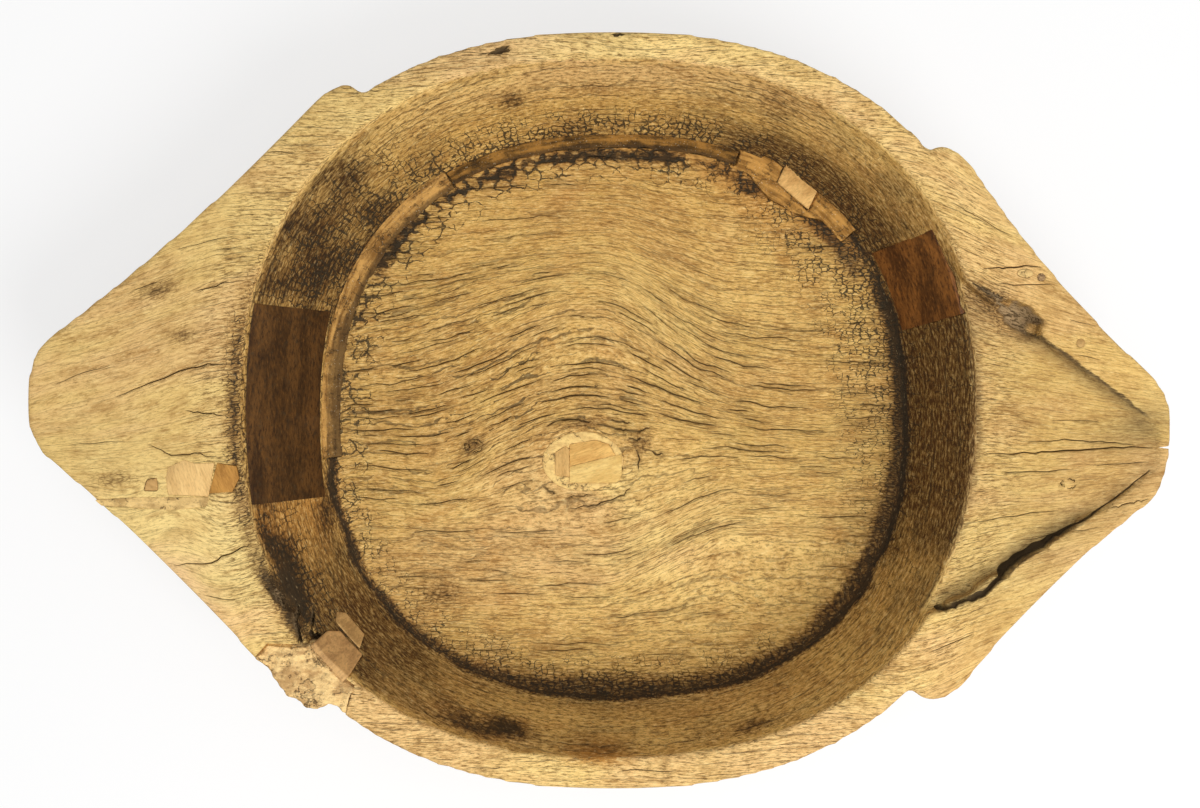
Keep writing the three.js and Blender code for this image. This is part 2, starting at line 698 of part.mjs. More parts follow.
let body = block;
const sockets = [];
for (const [name, material, cutter] of mends) {
  let piece = block.intersect(cutter(0));
  sockets.forEach((socket) => {
    piece = piece.subtract(socket);
  });
  const socket = cutter(fit);
  body = body.subtract(socket);
  sockets.push(socket);
  add(name, material, piece);
}
add("bowl_body", oldWood, body);

export default bowl;
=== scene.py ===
import json
import math

import bpy
import numpy as np
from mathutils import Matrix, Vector
from mathutils.bvhtree import BVHTree
from mathutils.kdtree import KDTree

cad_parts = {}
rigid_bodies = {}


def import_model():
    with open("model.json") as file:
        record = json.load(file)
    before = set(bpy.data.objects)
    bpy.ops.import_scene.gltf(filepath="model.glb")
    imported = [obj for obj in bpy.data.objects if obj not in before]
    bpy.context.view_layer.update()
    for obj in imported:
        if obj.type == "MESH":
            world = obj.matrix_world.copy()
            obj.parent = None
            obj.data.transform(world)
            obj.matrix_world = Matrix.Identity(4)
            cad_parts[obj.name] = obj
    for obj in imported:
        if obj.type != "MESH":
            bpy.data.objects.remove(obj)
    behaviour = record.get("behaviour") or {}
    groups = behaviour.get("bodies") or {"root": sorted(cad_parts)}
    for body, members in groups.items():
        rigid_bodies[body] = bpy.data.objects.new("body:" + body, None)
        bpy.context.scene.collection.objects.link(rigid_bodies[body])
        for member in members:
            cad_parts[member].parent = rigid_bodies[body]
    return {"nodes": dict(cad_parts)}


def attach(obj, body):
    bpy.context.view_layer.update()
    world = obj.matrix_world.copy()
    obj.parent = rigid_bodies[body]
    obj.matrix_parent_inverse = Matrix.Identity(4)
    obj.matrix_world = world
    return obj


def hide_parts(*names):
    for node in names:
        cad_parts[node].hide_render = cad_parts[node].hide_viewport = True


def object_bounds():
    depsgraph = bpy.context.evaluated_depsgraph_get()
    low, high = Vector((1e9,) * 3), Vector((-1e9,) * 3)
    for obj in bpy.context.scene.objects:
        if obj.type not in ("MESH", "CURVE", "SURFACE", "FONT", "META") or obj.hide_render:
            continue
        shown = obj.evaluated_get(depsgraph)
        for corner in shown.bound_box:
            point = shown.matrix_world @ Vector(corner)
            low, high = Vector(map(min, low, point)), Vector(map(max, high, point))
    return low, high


for stray in list(bpy.data.objects):
    bpy.data.objects.remove(stray)
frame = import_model()
cad_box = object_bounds()
nodes = frame["nodes"]


# ---- The carved block ----
# Half a log of old hardwood, hollowed into a squarish trough with a flat floor and left with a lug at each end.
# It is made whole first, then worn at its edges, rotted at the recess and chipped along the rim.
mouth_oval = (0.008, 0.002, 0.246, 0.232)
floor_oval = (0.013, -0.006, 0.212, 0.205)
floor_top = 0.032
rim_top = 0.14
squareness = 2.3
trough_middle = (0.01, -0.002)
grid = 0.0028
outside_kept = 0.14
wear_size = 0.008
recess_front = np.array([[0.223, -0.134], [0.372, -0.039]])
recess_back = np.array([[0.244, 0.084], [0.372, -0.011]])


def pick(*pieces):
    bpy.ops.object.select_all(action="DESELECT")
    for piece in pieces:
        piece.select_set(True)
    bpy.context.view_layer.objects.active = pieces[0]


def work(piece, kind, **settings):
    pick(piece)
    step = piece.modifiers.new(kind, kind)
    for key, value in settings.items():
        setattr(step, key, value)
    bpy.ops.object.modifier_apply(modifier=step.name)


def join(pieces):
    pick(*pieces)
    if len(pieces) > 1:
        bpy.ops.object.join()
    return pieces[0]


def edit_all(step, **settings):
    bpy.ops.object.mode_set(mode="EDIT")
    bpy.ops.mesh.select_all(action="SELECT")
    step(**settings)
    bpy.ops.object.mode_set(mode="OBJECT")


def solid_copy(label, *names):
    twins = []
    for name in names:
        twin = bpy.data.objects.new(label, nodes[name].data.copy())
        bpy.context.collection.objects.link(twin)
        twins.append(twin)
    piece = join(twins)
    edit_all(bpy.ops.mesh.remove_doubles, threshold=1e-6)
    piece.data.materials.clear()
    return piece


def vectors(items, label):
    flat = np.empty(3 * len(items))
    items.foreach_get(label, flat)
    return flat.reshape(-1, 3)


def places(piece):
    return vectors(piece.data.vertices, "co")


def facings(piece):
    return vectors(piece.data.vertices, "normal")


def move_to(piece, spots):
    piece.data.vertices.foreach_set("co", spots.ravel())
    piece.data.update()


def group_of(piece, label, weights):
    group = piece.vertex_groups.new(name=label)
    for level in np.unique(weights[weights > 0]):
        group.add(np.nonzero(weights == level)[0].tolist(), float(level), "REPLACE")
    return group.name


def surface_of(piece):
    piece.data.calc_loop_triangles()
    corners = [tuple(face.vertices) for face in piece.data.loop_triangles]
    return BVHTree.FromPolygons([v.co.copy() for v in piece.data.vertices], corners)


def ease(low, high, value):
    t = np.clip((value - low) / (high - low), 0.0, 1.0)
    return t * t * (3.0 - 2.0 * t)


def oval_share(at, oval):
    across = (np.abs(at[:, 0] - oval[0]) / oval[2]) ** squareness
    along = (np.abs(at[:, 1] - oval[1]) / oval[3]) ** squareness
    return (across + along) ** (1.0 / squareness)


def turn_of(at):
    return np.degrees(np.arctan2(at[:, 1] - trough_middle[1], at[:, 0] - trough_middle[0]))


def ring_at(share, middle, width):
    return np.exp(-((share - middle) / width) ** 2)


def spot(at, x, y, length, width, turn=0.0):
    c, s = math.cos(math.radians(turn)), math.sin(math.radians(turn))
    along = (at[:, 0] - x) * c + (at[:, 1] - y) * s
    across = (at[:, 1] - y) * c - (at[:, 0] - x) * s
    return np.exp(-(along / length) ** 2 - (across / width) ** 2)


def ripple(at, size, seed):
    rng = np.random.default_rng(seed)
    total = np.zeros(len(at))
    for _ in range(9):
        way = rng.normal(size=at.shape[1])
        way *= 2.0 * math.pi / (np.linalg.norm(way) * size * rng.uniform(0.6, 1.6))
        total += np.sin(at @ way + rng.uniform(0.0, 2.0 * math.pi))
    return total / 4.0


def beside(at, ends, bow=0.0):
    run = ends[1] - ends[0]
    length = np.linalg.norm(run)
    run = run / length
    along = ((at[:, :2] - ends[0]) @ run) / length
    off = (at[:, :2] - ends[0]) @ np.array([-run[1], run[0]])
    return along, off + 4.0 * bow * np.clip(along * (1.0 - along), 0.0, 1.0)


def facing_way(middle, width):
    return ring_at((angle - middle + 180.0) % 360.0 - 180.0, 0.0, width)


block = solid_copy("carved_block", *nodes)
work(block, "REMESH", mode="VOXEL", voxel_size=grid)

at = places(block)
edges = (at[:, 2] > 0.1).astype(float)
foot = (at[:, 2] < 0.012).astype(float)
work(block, "SMOOTH", iterations=5, vertex_group=group_of(block, "edges", edges))
work(block, "SMOOTH", iterations=8, vertex_group=group_of(block, "foot", foot))

at = places(block)
out = facings(block)
mouth = oval_share(at, mouth_oval)
floor = oval_share(at, floor_oval)
top = ease(0.11, 0.125, at[:, 2])
trough = ease(1.0, 0.98, mouth) * ease(0.03, 0.031, at[:, 2])
dip = 0.0004 * (1.0 + ripple(at, 0.09, 3)) * top * ease(0.3, 0.8, out[:, 2])
dip += 0.0006 * (1.0 + ripple(at, 0.06, 5)) * trough * ease(0.5, 0.2, out[:, 2])
dip += 0.0003 * (1.0 + ripple(at, 0.05, 7)) * trough * ease(0.5, 0.9, out[:, 2])
dip += 0.0008 * (1.0 + ripple(at, 0.11, 9)) * (1.0 - trough) * (1.0 - top)
ragged_rim = ring_at(mouth, 1.0, 0.03) * top
angle = turn_of(at)
dip += ragged_rim * (0.0006 + 0.0008 * ripple(at, 0.03, 11) ** 2)
burnt = ragged_rim * facing_way(-146, 9)
dip += burnt * 0.003 * (1.0 + ripple(at, 0.022, 13))
rotted = spot(at, 0.265, 0.07, 0.022, 0.012, -30) * ease(0.3, 0.8, out[:, 2]) * top
dip += 0.0025 * rotted * (1.0 + ripple(at, 0.012, 15)) / 2.0
at -= out * dip[:, None]


def gnaw(edge, bow, reach, begins, stops, long_wave, pitch, short_wave, seed, outward):
    along, off = beside(at, edge, bow)
    near = ring_at(off, 0.0, reach) * ease(*begins, along) * ease(1.0, stops, along) * ease(0.112, 0.122, at[:, 2])
    shift = long_wave * ripple(np.column_stack([along, along * 0.0]), pitch, seed)
    shift += short_wave * ripple(at, wear_size, seed + 2)
    at[:, :2] += (shift * near)[:, None] * np.array(outward)


gnaw(recess_front, 0.002, 0.011, (-0.02, 0.05), 0.9, 0.0012, 0.16, 0.0008, 17, (0.5377, -0.8431))
gnaw(recess_back, 0.0, 0.01, (0.05, 0.2), 0.85, 0.0008, 0.12, 0.0004, 21, (0.596, 0.803))
at[:, 2] = np.clip(at[:, 2], 0.00002, rim_top)
at[:, 0] = np.clip(at[:, 0], cad_box[0][0], cad_box[1][0])
at[:, 1] = np.clip(at[:, 1], cad_box[0][1], cad_box[1][1])
move_to(block, at)

outside = 1.0 - np.maximum(trough, ease(0.5, 0.7, out[:, 2]) * top)
outside = (outside > 0.5).astype(float)
share = (1.0 - outside.mean()) + outside_kept * outside.mean()
work(block, "DECIMATE", ratio=float(share), vertex_group=group_of(block, "outside", outside), vertex_group_factor=10.0)
whole = surface_of(block)


# ---- Rot, burns, sockets and cracks of the block ----
# Rot has eaten ragged hollows into the recess, a burn took the inner edge of one corner, and the right tip is
# split. Sockets are chopped for the mends, and the dry wood has opened in long cracks that follow the grain.
grain_levels = [-0.19, -0.154, -0.13, -0.088, -0.049, -0.005, 0.014, 0.05, 0.1, 0.154, 0.2]
grain_rise = [0.0, 0.012, 0.037, 0.031, 0.021, 0.0, -0.006, -0.014, -0.016, -0.012, 0.0]
grain_arch = [0.0, 0.0, 0.0, 0.0, 0.036, 0.038, 0.05, 0.044, 0.02, 0.005, 0.0]
knot_x = -0.0066
plug_middle = (-0.012, -0.038)
worn_chips = ("corner_chip", "corner_sliver", "seam_chip", "lug_chip")
tool_foot, tool_top = -0.01, 0.15
skin, proud, play = 0.0016, 0.004, 0.00015  # of a socket: what counts as its open side, reach out there, play


def grain_line(x, level):
    reach = np.where(x < knot_x, np.interp(level, [0.014, 0.05], [0.085, 0.115]), 0.075)
    arch = np.exp(-((x - knot_x) / reach) ** 2)
    rise = ease(0.0, 0.104, x)
    sag = 0.009 * np.exp(-((x + 0.112) / 0.035) ** 2 - ((level + 0.045) / 0.03) ** 2)
    risen = level + np.interp(level, grain_levels, grain_rise) * rise
    return risen + np.interp(level, grain_levels, grain_arch) * arch - sag


def grain_level(x, y):
    low, high = y - 0.08, y + 0.08
    for _ in range(28):
        half = (low + high) / 2.0
        under = grain_line(x, half) < y
        low, high = np.where(under, half, low), np.where(under, high, half)
    return low


def mesh_piece(label, verts, faces):
    mesh = bpy.data.meshes.new(label)
    mesh.from_pydata([tuple(v) for v in verts], [], faces)
    piece = bpy.data.objects.new(label, mesh)
    bpy.context.collection.objects.link(piece)
    pick(piece)
    edit_all(bpy.ops.mesh.normals_make_consistent, inside=False)
    return piece


def chop(piece, *tools):
    tool = join(tools)
    work(piece, "BOOLEAN", operation="DIFFERENCE", object=tool, solver="MANIFOLD")
    bpy.data.objects.remove(tool)


def height_at(x, y):
    hit = whole.ray_cast(Vector((x, y, 0.2)), Vector((0.0, 0.0, -1.0)))[0]
    return hit.z if hit else None


def along_points(points, count):
    points = np.array(points)
    share = np.linspace(0.0, 1.0, len(points))
    fine = np.linspace(0.0, 1.0, count)
    return np.column_stack([np.interp(fine, share, points[:, k]) for k in range(points.shape[1])])


def left_of(path):
    run = np.gradient(path, axis=0)
    run /= np.linalg.norm(run, axis=1)[:, None]
    return np.column_stack([-run[:, 1], run[:, 0]])


def trench_tool(points, widths, depths, ragged, seed):
    steps = 70
    path = along_points(points, steps)
    share = np.linspace(0.0, 1.0, steps)
    rng = np.random.default_rng(seed)
    left = left_of(path)
    line = np.column_stack([share, 0.0 * share])
    wide = np.interp(share, np.linspace(0.0, 1.0, len(widths)), widths)
    deep = np.interp(share, np.linspace(0.0, 1.0, len(depths)), depths)
    bite = 0.5 + 0.5 * ripple(line, 0.11, seed) + 0.35 * ripple(line, 0.03, seed + 1)
    bite = 0.0008 + ragged * bite + 0.0002 * rng.normal(size=steps)
    bite *= np.interp(share, [0.0, 0.5, 0.68, 1.0], [1.0, 1.0, 0.35, 0.15])
    inner = wide * (0.8 + 0.25 * ripple(line, 0.07, seed + 2))
    verts, faces = [], []
    for i in range(steps):
        ground = height_at(*(path[i] + left[i] * inner[i]))
        low = min(ground, rim_top - 0.002) - deep[i]
        a, b = path[i] - left[i] * bite[i], path[i] + left[i] * np.maximum(inner[i], 0.0006)
        verts += [(*a, low), (*b, low), (*b, tool_top), (*a, tool_top)]
    end = 4 * (steps - 1)
    for i in range(0, end, 4):
        for k in range(4):
            faces.append((i + k, i + (k + 1) % 4, i + 4 + (k + 1) % 4, i + 4 + k))
    faces += [(0, 3, 2, 1), (end, end + 1, end + 2, end + 3)]
    return mesh_piece("trench_tool", verts, faces)


def pit_tool(x, y, length, width, turn, low, seed, jag=0.2, lean=(0.0, 0.0)):
    rng = np.random.default_rng(seed)
    count = 36
    ring = 2.0 * math.pi * np.arange(count) / count
    turns = rng.uniform(0.0, 2.0 * math.pi, 3)
    reach = sum(swing * np.sin(waves * ring + start) for swing, waves, start in zip((0.6, 0.5, 0.4), (3, 5, 9), turns))
    reach = 1.0 + jag * reach + 0.15 * jag * rng.uniform(-1.0, 1.0, count)
    c, s = math.cos(math.radians(turn)), math.sin(math.radians(turn))
    verts, faces = [], []
    for z, size, slip in ((low, 0.5, 1.0), ((low + rim_top) / 2.0, 0.85, 0.4), (tool_top, 1.0, 0.0)):
        px, py = length * size * reach * np.cos(ring), width * size * reach * np.sin(ring)
        verts += [(x + lean[0] * slip + u * c - v * s, y + lean[1] * slip + u * s + v * c, z) for u, v in zip(px, py)]
    verts += [(x + lean[0], y + lean[1], low - 0.001), (x, y, tool_top)]
    for i in range(count):
        j = (i + 1) % count
        for k in (0, count):
            faces.append((k + i, k + j, k + count + j, k + count + i))
        faces += [(3 * count, j, i), (3 * count + 1, 2 * count + i, 2 * count + j)]
    return mesh_piece("pit_tool", verts, faces)


def worn_round(piece):
    work(piece, "REMESH", mode="VOXEL", voxel_size=0.0007)
    work(piece, "SMOOTH", iterations=22)


def socket_tool(*names):
    tools = []
    for name in names:
        tool = solid_copy("socket_tool", name)
        if name in worn_chips:
            worn_round(tool)
        at, out = places(tool), facings(tool)
        for i, place in enumerate(at):
            hit, facing, _, far = whole.find_nearest(Vector(place))
            facing = np.array(facing)
            if far < skin:
                side = out[i] - facing * (out[i] @ facing)
                if name == "lug_filler":
                    facing = np.array([-float(place[0] < -0.31), 0.0, float(place[2] > rim_top - 0.004)])
                at[i] = place + proud * facing + play * side
            else:
                at[i] = place + play * out[i]
        move_to(tool, at)
        tools.append(tool)
    return join(tools)


front_edge = np.array([
    (0.2246, -0.1323), (0.2551, -0.1217), (0.279, -0.0999), (0.3068, -0.082), (0.3386, -0.0621), (0.366, -0.04)])
tip_split = mesh_piece("split_tool", [
    (x, y, z) for z in (tool_foot, tool_top) for x, y in ((0.3715, -0.0247), (0.392, -0.0275), (0.392, -0.0215))],
    [(0, 1, 2), (3, 5, 4), (0, 3, 4, 1), (1, 4, 5, 2), (2, 5, 3, 0)])
rotted_edge = trench_tool(
    front_edge, [0.0012, 0.0026, 0.0044, 0.0036, 0.0009, 0.0006, 0.0004],
    [0.001, 0.002, 0.004, 0.003, 0.0008, 0.0005], 0.0022, 31)
rotted_mouth = trench_tool(
    [(0.268, 0.074), (0.256, 0.08), (0.248, 0.085)], [0.003, 0.002, 0.001], [0.003, 0.002, 0.001], 0.001, 35)
chop(block, tip_split, rotted_edge, rotted_mouth,
     pit_tool(-0.214, -0.124, 0.0085, 0.0032, -49, 0.126, 39, 0.3),
     pit_tool(-0.19, -0.154, 0.0075, 0.0042, -62, 0.108, 45, 0.25),
     pit_tool(-0.0655, 0.2385, 0.008, 0.0026, 16, 0.1372, 47, 0.25),
     pit_tool(0.0125, 0.25, 0.0045, 0.0026, 0, 0.136, 49, 0.25))
chop(block, pit_tool(0.279, 0.06, 0.019, 0.0115, -38, 0.117, 37, 0.16, (0.0022, 0.003)),
     pit_tool(-0.201, -0.142, 0.017, 0.0022, -79, 0.116, 41, 0.28))
chop(block, pit_tool(-0.194, -0.1385, 0.013, 0.0016, -83, 0.112, 43, 0.28))
chop(block, socket_tool(
    "left_wall_patch", "right_wall_patch", "floor_plug_filler", "lug_plug", "corner_filler",
    "seam_filler_left", "seam_filler_right", "cheek_filler", "cheek_peg"))
chop(block, socket_tool("floor_plug_light", "lug_wedge", "corner_chip", "seam_filler_top", "cheek_nail"))
chop(block, socket_tool("floor_plug_dark", "lug_filler", "corner_sliver", "seam_chip"))
chop(block, socket_tool("floor_plug_side", "lug_chip"))

verts, faces, taken = [], [], []


def crack_sliver(path, width, depth):
    lift, tip_lift, most_step = 0.0012, 0.0003, 0.004
    heights = [height_at(x, y) for x, y in path]
    if None in heights or max(abs(np.diff(heights))) > most_step:
        return
    left = left_of(path)
    last = len(path) - 1
    a = len(verts)
    verts.append((*path[0], heights[0] + tip_lift))
    for i in range(1, last):
        swell = math.sin(math.pi * i / last) ** 0.6
        deep = depth * swell
        half = 0.5 * width * swell * (deep + lift) / deep
        verts.append((*(path[i] + left[i] * half), heights[i] + lift))
        verts.append((*(path[i] - left[i] * half), heights[i] + lift))
        verts.append((*path[i], heights[i] - deep))
    e = len(verts)
    verts.append((*path[last], heights[last] + tip_lift))
    l, r, b = a + 1, a + 2, a + 3
    faces.extend([(a, r, l), (a, l, b), (a, b, r)])
    for _ in range(last - 2):
        faces.extend([(r, r + 3, l + 3, l), (l, l + 3, b + 3, b), (r, b, b + 3, r + 3)])
        l, r, b = l + 3, r + 3, b + 3
    faces.extend([(e, l, r), (e, b, l), (e, r, b)])


def keep_crack(path, width, depth, clear=0.003):
    gaps = [np.linalg.norm(old[None, :, :] - path[:, None, :], axis=2).min() for old in taken]
    if min(gaps, default=1.0) > clear:
        crack_sliver(path, width, depth)
        taken.append(path)


def drawn_crack(points, width, depth):
    path = along_points(points, 4 * len(points))
    path[1:-1] += 0.0004 * np.random.default_rng(len(verts)).normal(size=path[1:-1].shape)
    keep_crack(path, width, depth, 0.001)


lug_cracks = (
    (0.0013, 0.004, (0.253, 0.094), (0.268, 0.0945), (0.282, 0.0955), (0.295, 0.0952)),
    (0.0008, 0.003, (0.262, 0.084), (0.28, 0.0832), (0.303, 0.0835)),
    (0.0015, 0.004, (0.256, -0.03), (0.29, -0.0285), (0.318, -0.0265), (0.345, -0.025), (0.372, -0.0247)),
    (0.0008, 0.003, (0.285, -0.0215), (0.312, -0.0195), (0.34, -0.0215), (0.36, -0.0235)),
    (0.001, 0.003, (0.338, -0.0655), (0.35, -0.0615), (0.366, -0.059)),
    (0.0013, 0.004, (-0.284, -0.1025), (-0.257, -0.101), (-0.24, -0.093), (-0.23, -0.088)),
    (0.0012, 0.003, (-0.322, 0.008), (-0.3, 0.017), (-0.276, 0.027), (-0.258, 0.0305), (-0.247, 0.031)),
    (0.0011, 0.003, (-0.268, 0.079), (-0.256, 0.0815), (-0.245, 0.086)),
    (0.001, 0.003, (-0.276, -0.0005), (-0.262, -0.0015), (-0.248, -0.0035)),
    (0.0013, 0.004, (-0.356, -0.048), (-0.345, -0.0484), (-0.332, -0.0482)),
    (0.0009, 0.003, (-0.3, -0.022), (-0.284, -0.03), (-0.268, -0.0288), (-0.25, -0.032)))
plug_cracks = (
    (0.003, 0.003, (-0.04, -0.0125), (-0.03, -0.0075), (-0.018, -0.007), (-0.006, -0.0095)),
    (0.0034, 0.003, (-0.0035, -0.0105), (0.008, -0.012), (0.018, -0.015), (0.03, -0.0165), (0.038, -0.012)),
    (0.0022, 0.002, (0.007, -0.0075), (0.015, -0.0085), (0.023, -0.0105)),
    (0.0024, 0.002, (0.021, -0.02), (0.027, -0.0225), (0.031, -0.0205)),
    (0.0014, 0.002, (0.027, -0.029), (0.03, -0.037), (0.029, -0.045)),
    (0.002, 0.002, (0.038, -0.03), (0.042, -0.033), (0.048, -0.032)),
    (0.0012, 0.002, (0.024, -0.056), (0.017, -0.063), (0.006, -0.0675), (-0.008, -0.071), (-0.024, -0.073)),
    (0.003, 0.002, (-0.042, -0.056), (-0.037, -0.0595), (-0.031, -0.0615)),
    (0.001, 0.002, (-0.022, -0.0625), (-0.013, -0.064), (-0.005, -0.062)))
for width, depth, *points in lug_cracks + plug_cracks:
    drawn_crack(points, width, depth)
for x, y, size in ((-0.092, -0.0265, 0.007), (-0.092, -0.0265, 0.0035),
                   (0.314, -0.049, 0.0046), (0.314, -0.049, 0.0022)):
    for start in (0.2, 2.4, 4.4):
        ring = np.linspace(start, start + 1.7, 4)
        drawn_crack([(x + size * math.cos(a), y + 0.7 * size * math.sin(a)) for a in ring], 0.0008, 0.0012)

rng = np.random.default_rng(41)
row_pitch = 0.0058
for row in np.arange(-0.188, 0.186, row_pitch):
    x = -0.205 + rng.uniform(0.0, 0.03)
    while x < 0.21:
        length = rng.uniform(0.013, 0.064)
        xs = np.linspace(x, x + length, max(6, int(length / 0.0042)))
        path = np.column_stack([xs, grain_line(xs, row + rng.uniform(-0.002, 0.002))])
        path[:, 1] += 0.001 * ripple(path, 0.024, 43) + 0.0004 * ripple(path, 0.009, 45)
        x += length + rng.uniform(0.002, 0.02)
        here = path[len(path) // 2][None, :]
        cracked = 0.2 + sum(share * spot(here, *place)[0] for share, *place in (
            (1.05, -0.085, 0.01, 0.12, 0.065), (0.75, 0.06, 0.005, 0.08, 0.05),
            (0.12, 0.02, -0.1, 0.15, 0.05), (-0.15, 0.05, 0.13, 0.14, 0.05)))
        clear_of_plug = np.hypot((path[:, 0] - plug_middle[0]) / 0.034, (path[:, 1] - plug_middle[1]) / 0.026) > 1.0
        path = path[clear_of_plug & (oval_share(path, floor_oval) < 0.955)]
        whole_run = len(path) > 4 and np.abs(np.diff(path[:, 0])).max() < 0.012
        if rng.uniform() < cracked and whole_run:
            width = rng.uniform(0.0006, 0.0014) * (0.4 + 0.65 * cracked)
            keep_crack(path, width, rng.uniform(0.0014, 0.0028), 0.003)
floor_cracks = list(taken)


def top_level(x, y):
    fan = (y + 0.022) * 0.4 / (0.6 - x) - 0.022
    slant = y + 0.32 * np.logaddexp(0.0, (-0.25 - x) / 0.012) * 0.012 * ease(-0.05, 0.0, y)
    slant += 0.0035 * np.sin(x * 95.0) * ease(-0.04, -0.06, y)
    to_right, to_left = ease(0.18, 0.27, x), ease(-0.2, -0.25, x)
    return fan * to_right + slant * to_left + y * (1.0 - to_right - to_left)


lug_tries, stride, nudge = 420, 0.0035, 0.001
for _ in range(lug_tries):
    x, y = rng.uniform(-0.37, 0.36), rng.uniform(-0.24, 0.24)
    count = int(rng.uniform(6, 18))
    path = [(x, y)]
    for _ in range(count):
        lean = (top_level(x + nudge, y) - top_level(x - nudge, y)) / (top_level(x, y + nudge) - top_level(x, y - nudge))
        x, y = x + stride, y - stride * lean
        path.append((x, y))
    path = np.array(path)
    path[:, 1] += 0.0007 * ripple(path, 0.02, 47)
    on_land = oval_share(path, mouth_oval).min() > 1.03
    clear_of_plug = np.abs(path + [0.275, 0.047]).max(axis=1).min() > 0.038 or np.abs(path[:, 1] + 0.047).min() > 0.022
    heights = [height_at(*p) for p in path]
    if on_land and clear_of_plug and None not in heights and min(heights) > 0.122:
        keep_crack(path, rng.uniform(0.0004, 0.0008), rng.uniform(0.0008, 0.0018), 0.0055)
chop(block, mesh_piece("crack_tool", verts, faces))


def drop_crumbs(piece):
    pick(piece)
    bpy.ops.object.mode_set(mode="EDIT")
    bpy.ops.mesh.select_all(action="DESELECT")
    bpy.ops.object.mode_set(mode="OBJECT")
    piece.data.vertices[int(places(piece)[:, 2].argmin())].select = True
    bpy.ops.object.mode_set(mode="EDIT")
    bpy.ops.mesh.select_linked()
    bpy.ops.mesh.select_all(action="INVERT")
    bpy.ops.mesh.delete(type="VERT")
    bpy.ops.object.mode_set(mode="OBJECT")


drop_crumbs(block)
bpy.ops.object.shade_smooth_by_angle(angle=math.radians(38))


# ---- Old wood of the block ----
# Weathered tan wood: fine fibres along the grain, crazed where damp stood at the edge of the floor, brown and
# sooty on the walls and in the corners, and rubbed pale on the rim and lugs. Shade is painted in as well: along
# the foot of the near and right walls, under the edges of the recess and inside every cut.
def whole_numbers(items, label):
    flat = np.empty(len(items), dtype=int)
    items.foreach_get(label, flat)
    return flat


at = places(block)
out = facings(block)
mouth = oval_share(at, mouth_oval)
floor = oval_share(at, floor_oval) + 0.006 * ripple(at, 0.03, 63)
angle = turn_of(at)
rise = np.clip((at[:, 2] - floor_top) / (rim_top - floor_top), 0.0, 1.0)
calm = ease(0.036, 0.06, at[:, 2])
top_grain = top_level(at[:, 0], at[:, 1]) + 0.003 * ripple(at[:, :2], 0.11, 65)
level = grain_level(at[:, 0], at[:, 1]) * (1.0 - calm) + top_grain * calm
height = at[:, 2]
from_middle = at[:, :2] - trough_middle
inward = -(from_middle * out[:, :2]).sum(axis=1) / np.linalg.norm(from_middle, axis=1)
on_floor = ease(1.015, 0.99, floor) * ease(0.05, 0.04, height) * ease(0.028, 0.031, height)
on_wall = ease(0.985, 1.0, floor) * ease(1.004, 0.985, mouth) * ease(0.028, 0.032, height) * ease(-0.35, -0.1, inward)
on_top = ease(0.1, 0.122, height) * ease(0.985, 1.004, mouth) * ease(0.2, 0.6, out[:, 2])
under = np.clip(1.0 - on_floor - on_wall - on_top, 0.0, 1.0)
sides = whole_numbers(block.data.polygons, "loop_total")
corner = whole_numbers(block.data.loops, "vertex_index")
middles, slopes = vectors(block.data.polygons, "center"), vectors(block.data.polygons, "normal")
facing_in = ((middles[:, :2] - trough_middle) * slopes[:, :2]).sum(axis=1) < 0.05
hollowed = (oval_share(middles, floor_oval) > 0.985) & (oval_share(middles, mouth_oval) < 1.0)
hollowed &= (middles[:, 2] > 0.028) & facing_in
face_angle = np.repeat(turn_of(middles), sides)
turned = face_angle + (angle[corner] - face_angle + 180.0) % 360.0 - 180.0
plain = np.column_stack([at[:, 0], level, height])[corner]
up_wall = 0.168 * (oval_share(at, floor_oval) - 1.0) + 0.16 * (height - floor_top)
round_wall = np.column_stack([np.radians(turned) * 0.23, up_wall[corner], 0.0 * turned])
grain_at = np.where(np.repeat(hollowed, sides)[:, None], round_wall, plain)


# Ways are in degrees round the trough: 0 is the right wall and 90 the far wall.
def ways(*parts):
    return sum(share * facing_way(middle, width) for share, middle, width in parts)


def marks_at(*parts):
    return sum(share * spot(at, *place) for share, *place in parts)


def patchy(least, more):
    return least + more * blotch


blotch = 0.5 + 0.5 * ripple(at, 0.045, 67)
fleck = 0.5 + 0.5 * ripple(at, 0.016, 69)
rim_ring = ring_at(mouth, 1.016, 0.03)
rim_edge = ease(0.1, 0.118, height)
foot_of_wall = ease(0.5, 0.12, rise) * facing_way(95, 60)
red_streak = spot(at, 0.0006, -0.23, 0.022, 0.0048)

# Brown stain on the walls.
stain = ways((0.08, -48, 20), (0.12, -95, 30), (0.6, -140, 18), (0.56, 150, 20)) + 0.2 * blotch
stain += 0.97 * facing_way(0, 25) * ease(1.25, 0.65, rise) + 0.42 * facing_way(64, 15) * ease(0.75, 0.2, rise)
stain += facing_way(43, 16) * (0.2 + 0.5 * ease(0.6, 0.2, rise))
stain = on_wall * stain + ring_at(mouth, 1.004, 0.016) * rim_edge * 0.5 * facing_way(0, 26) + 0.3 * red_streak
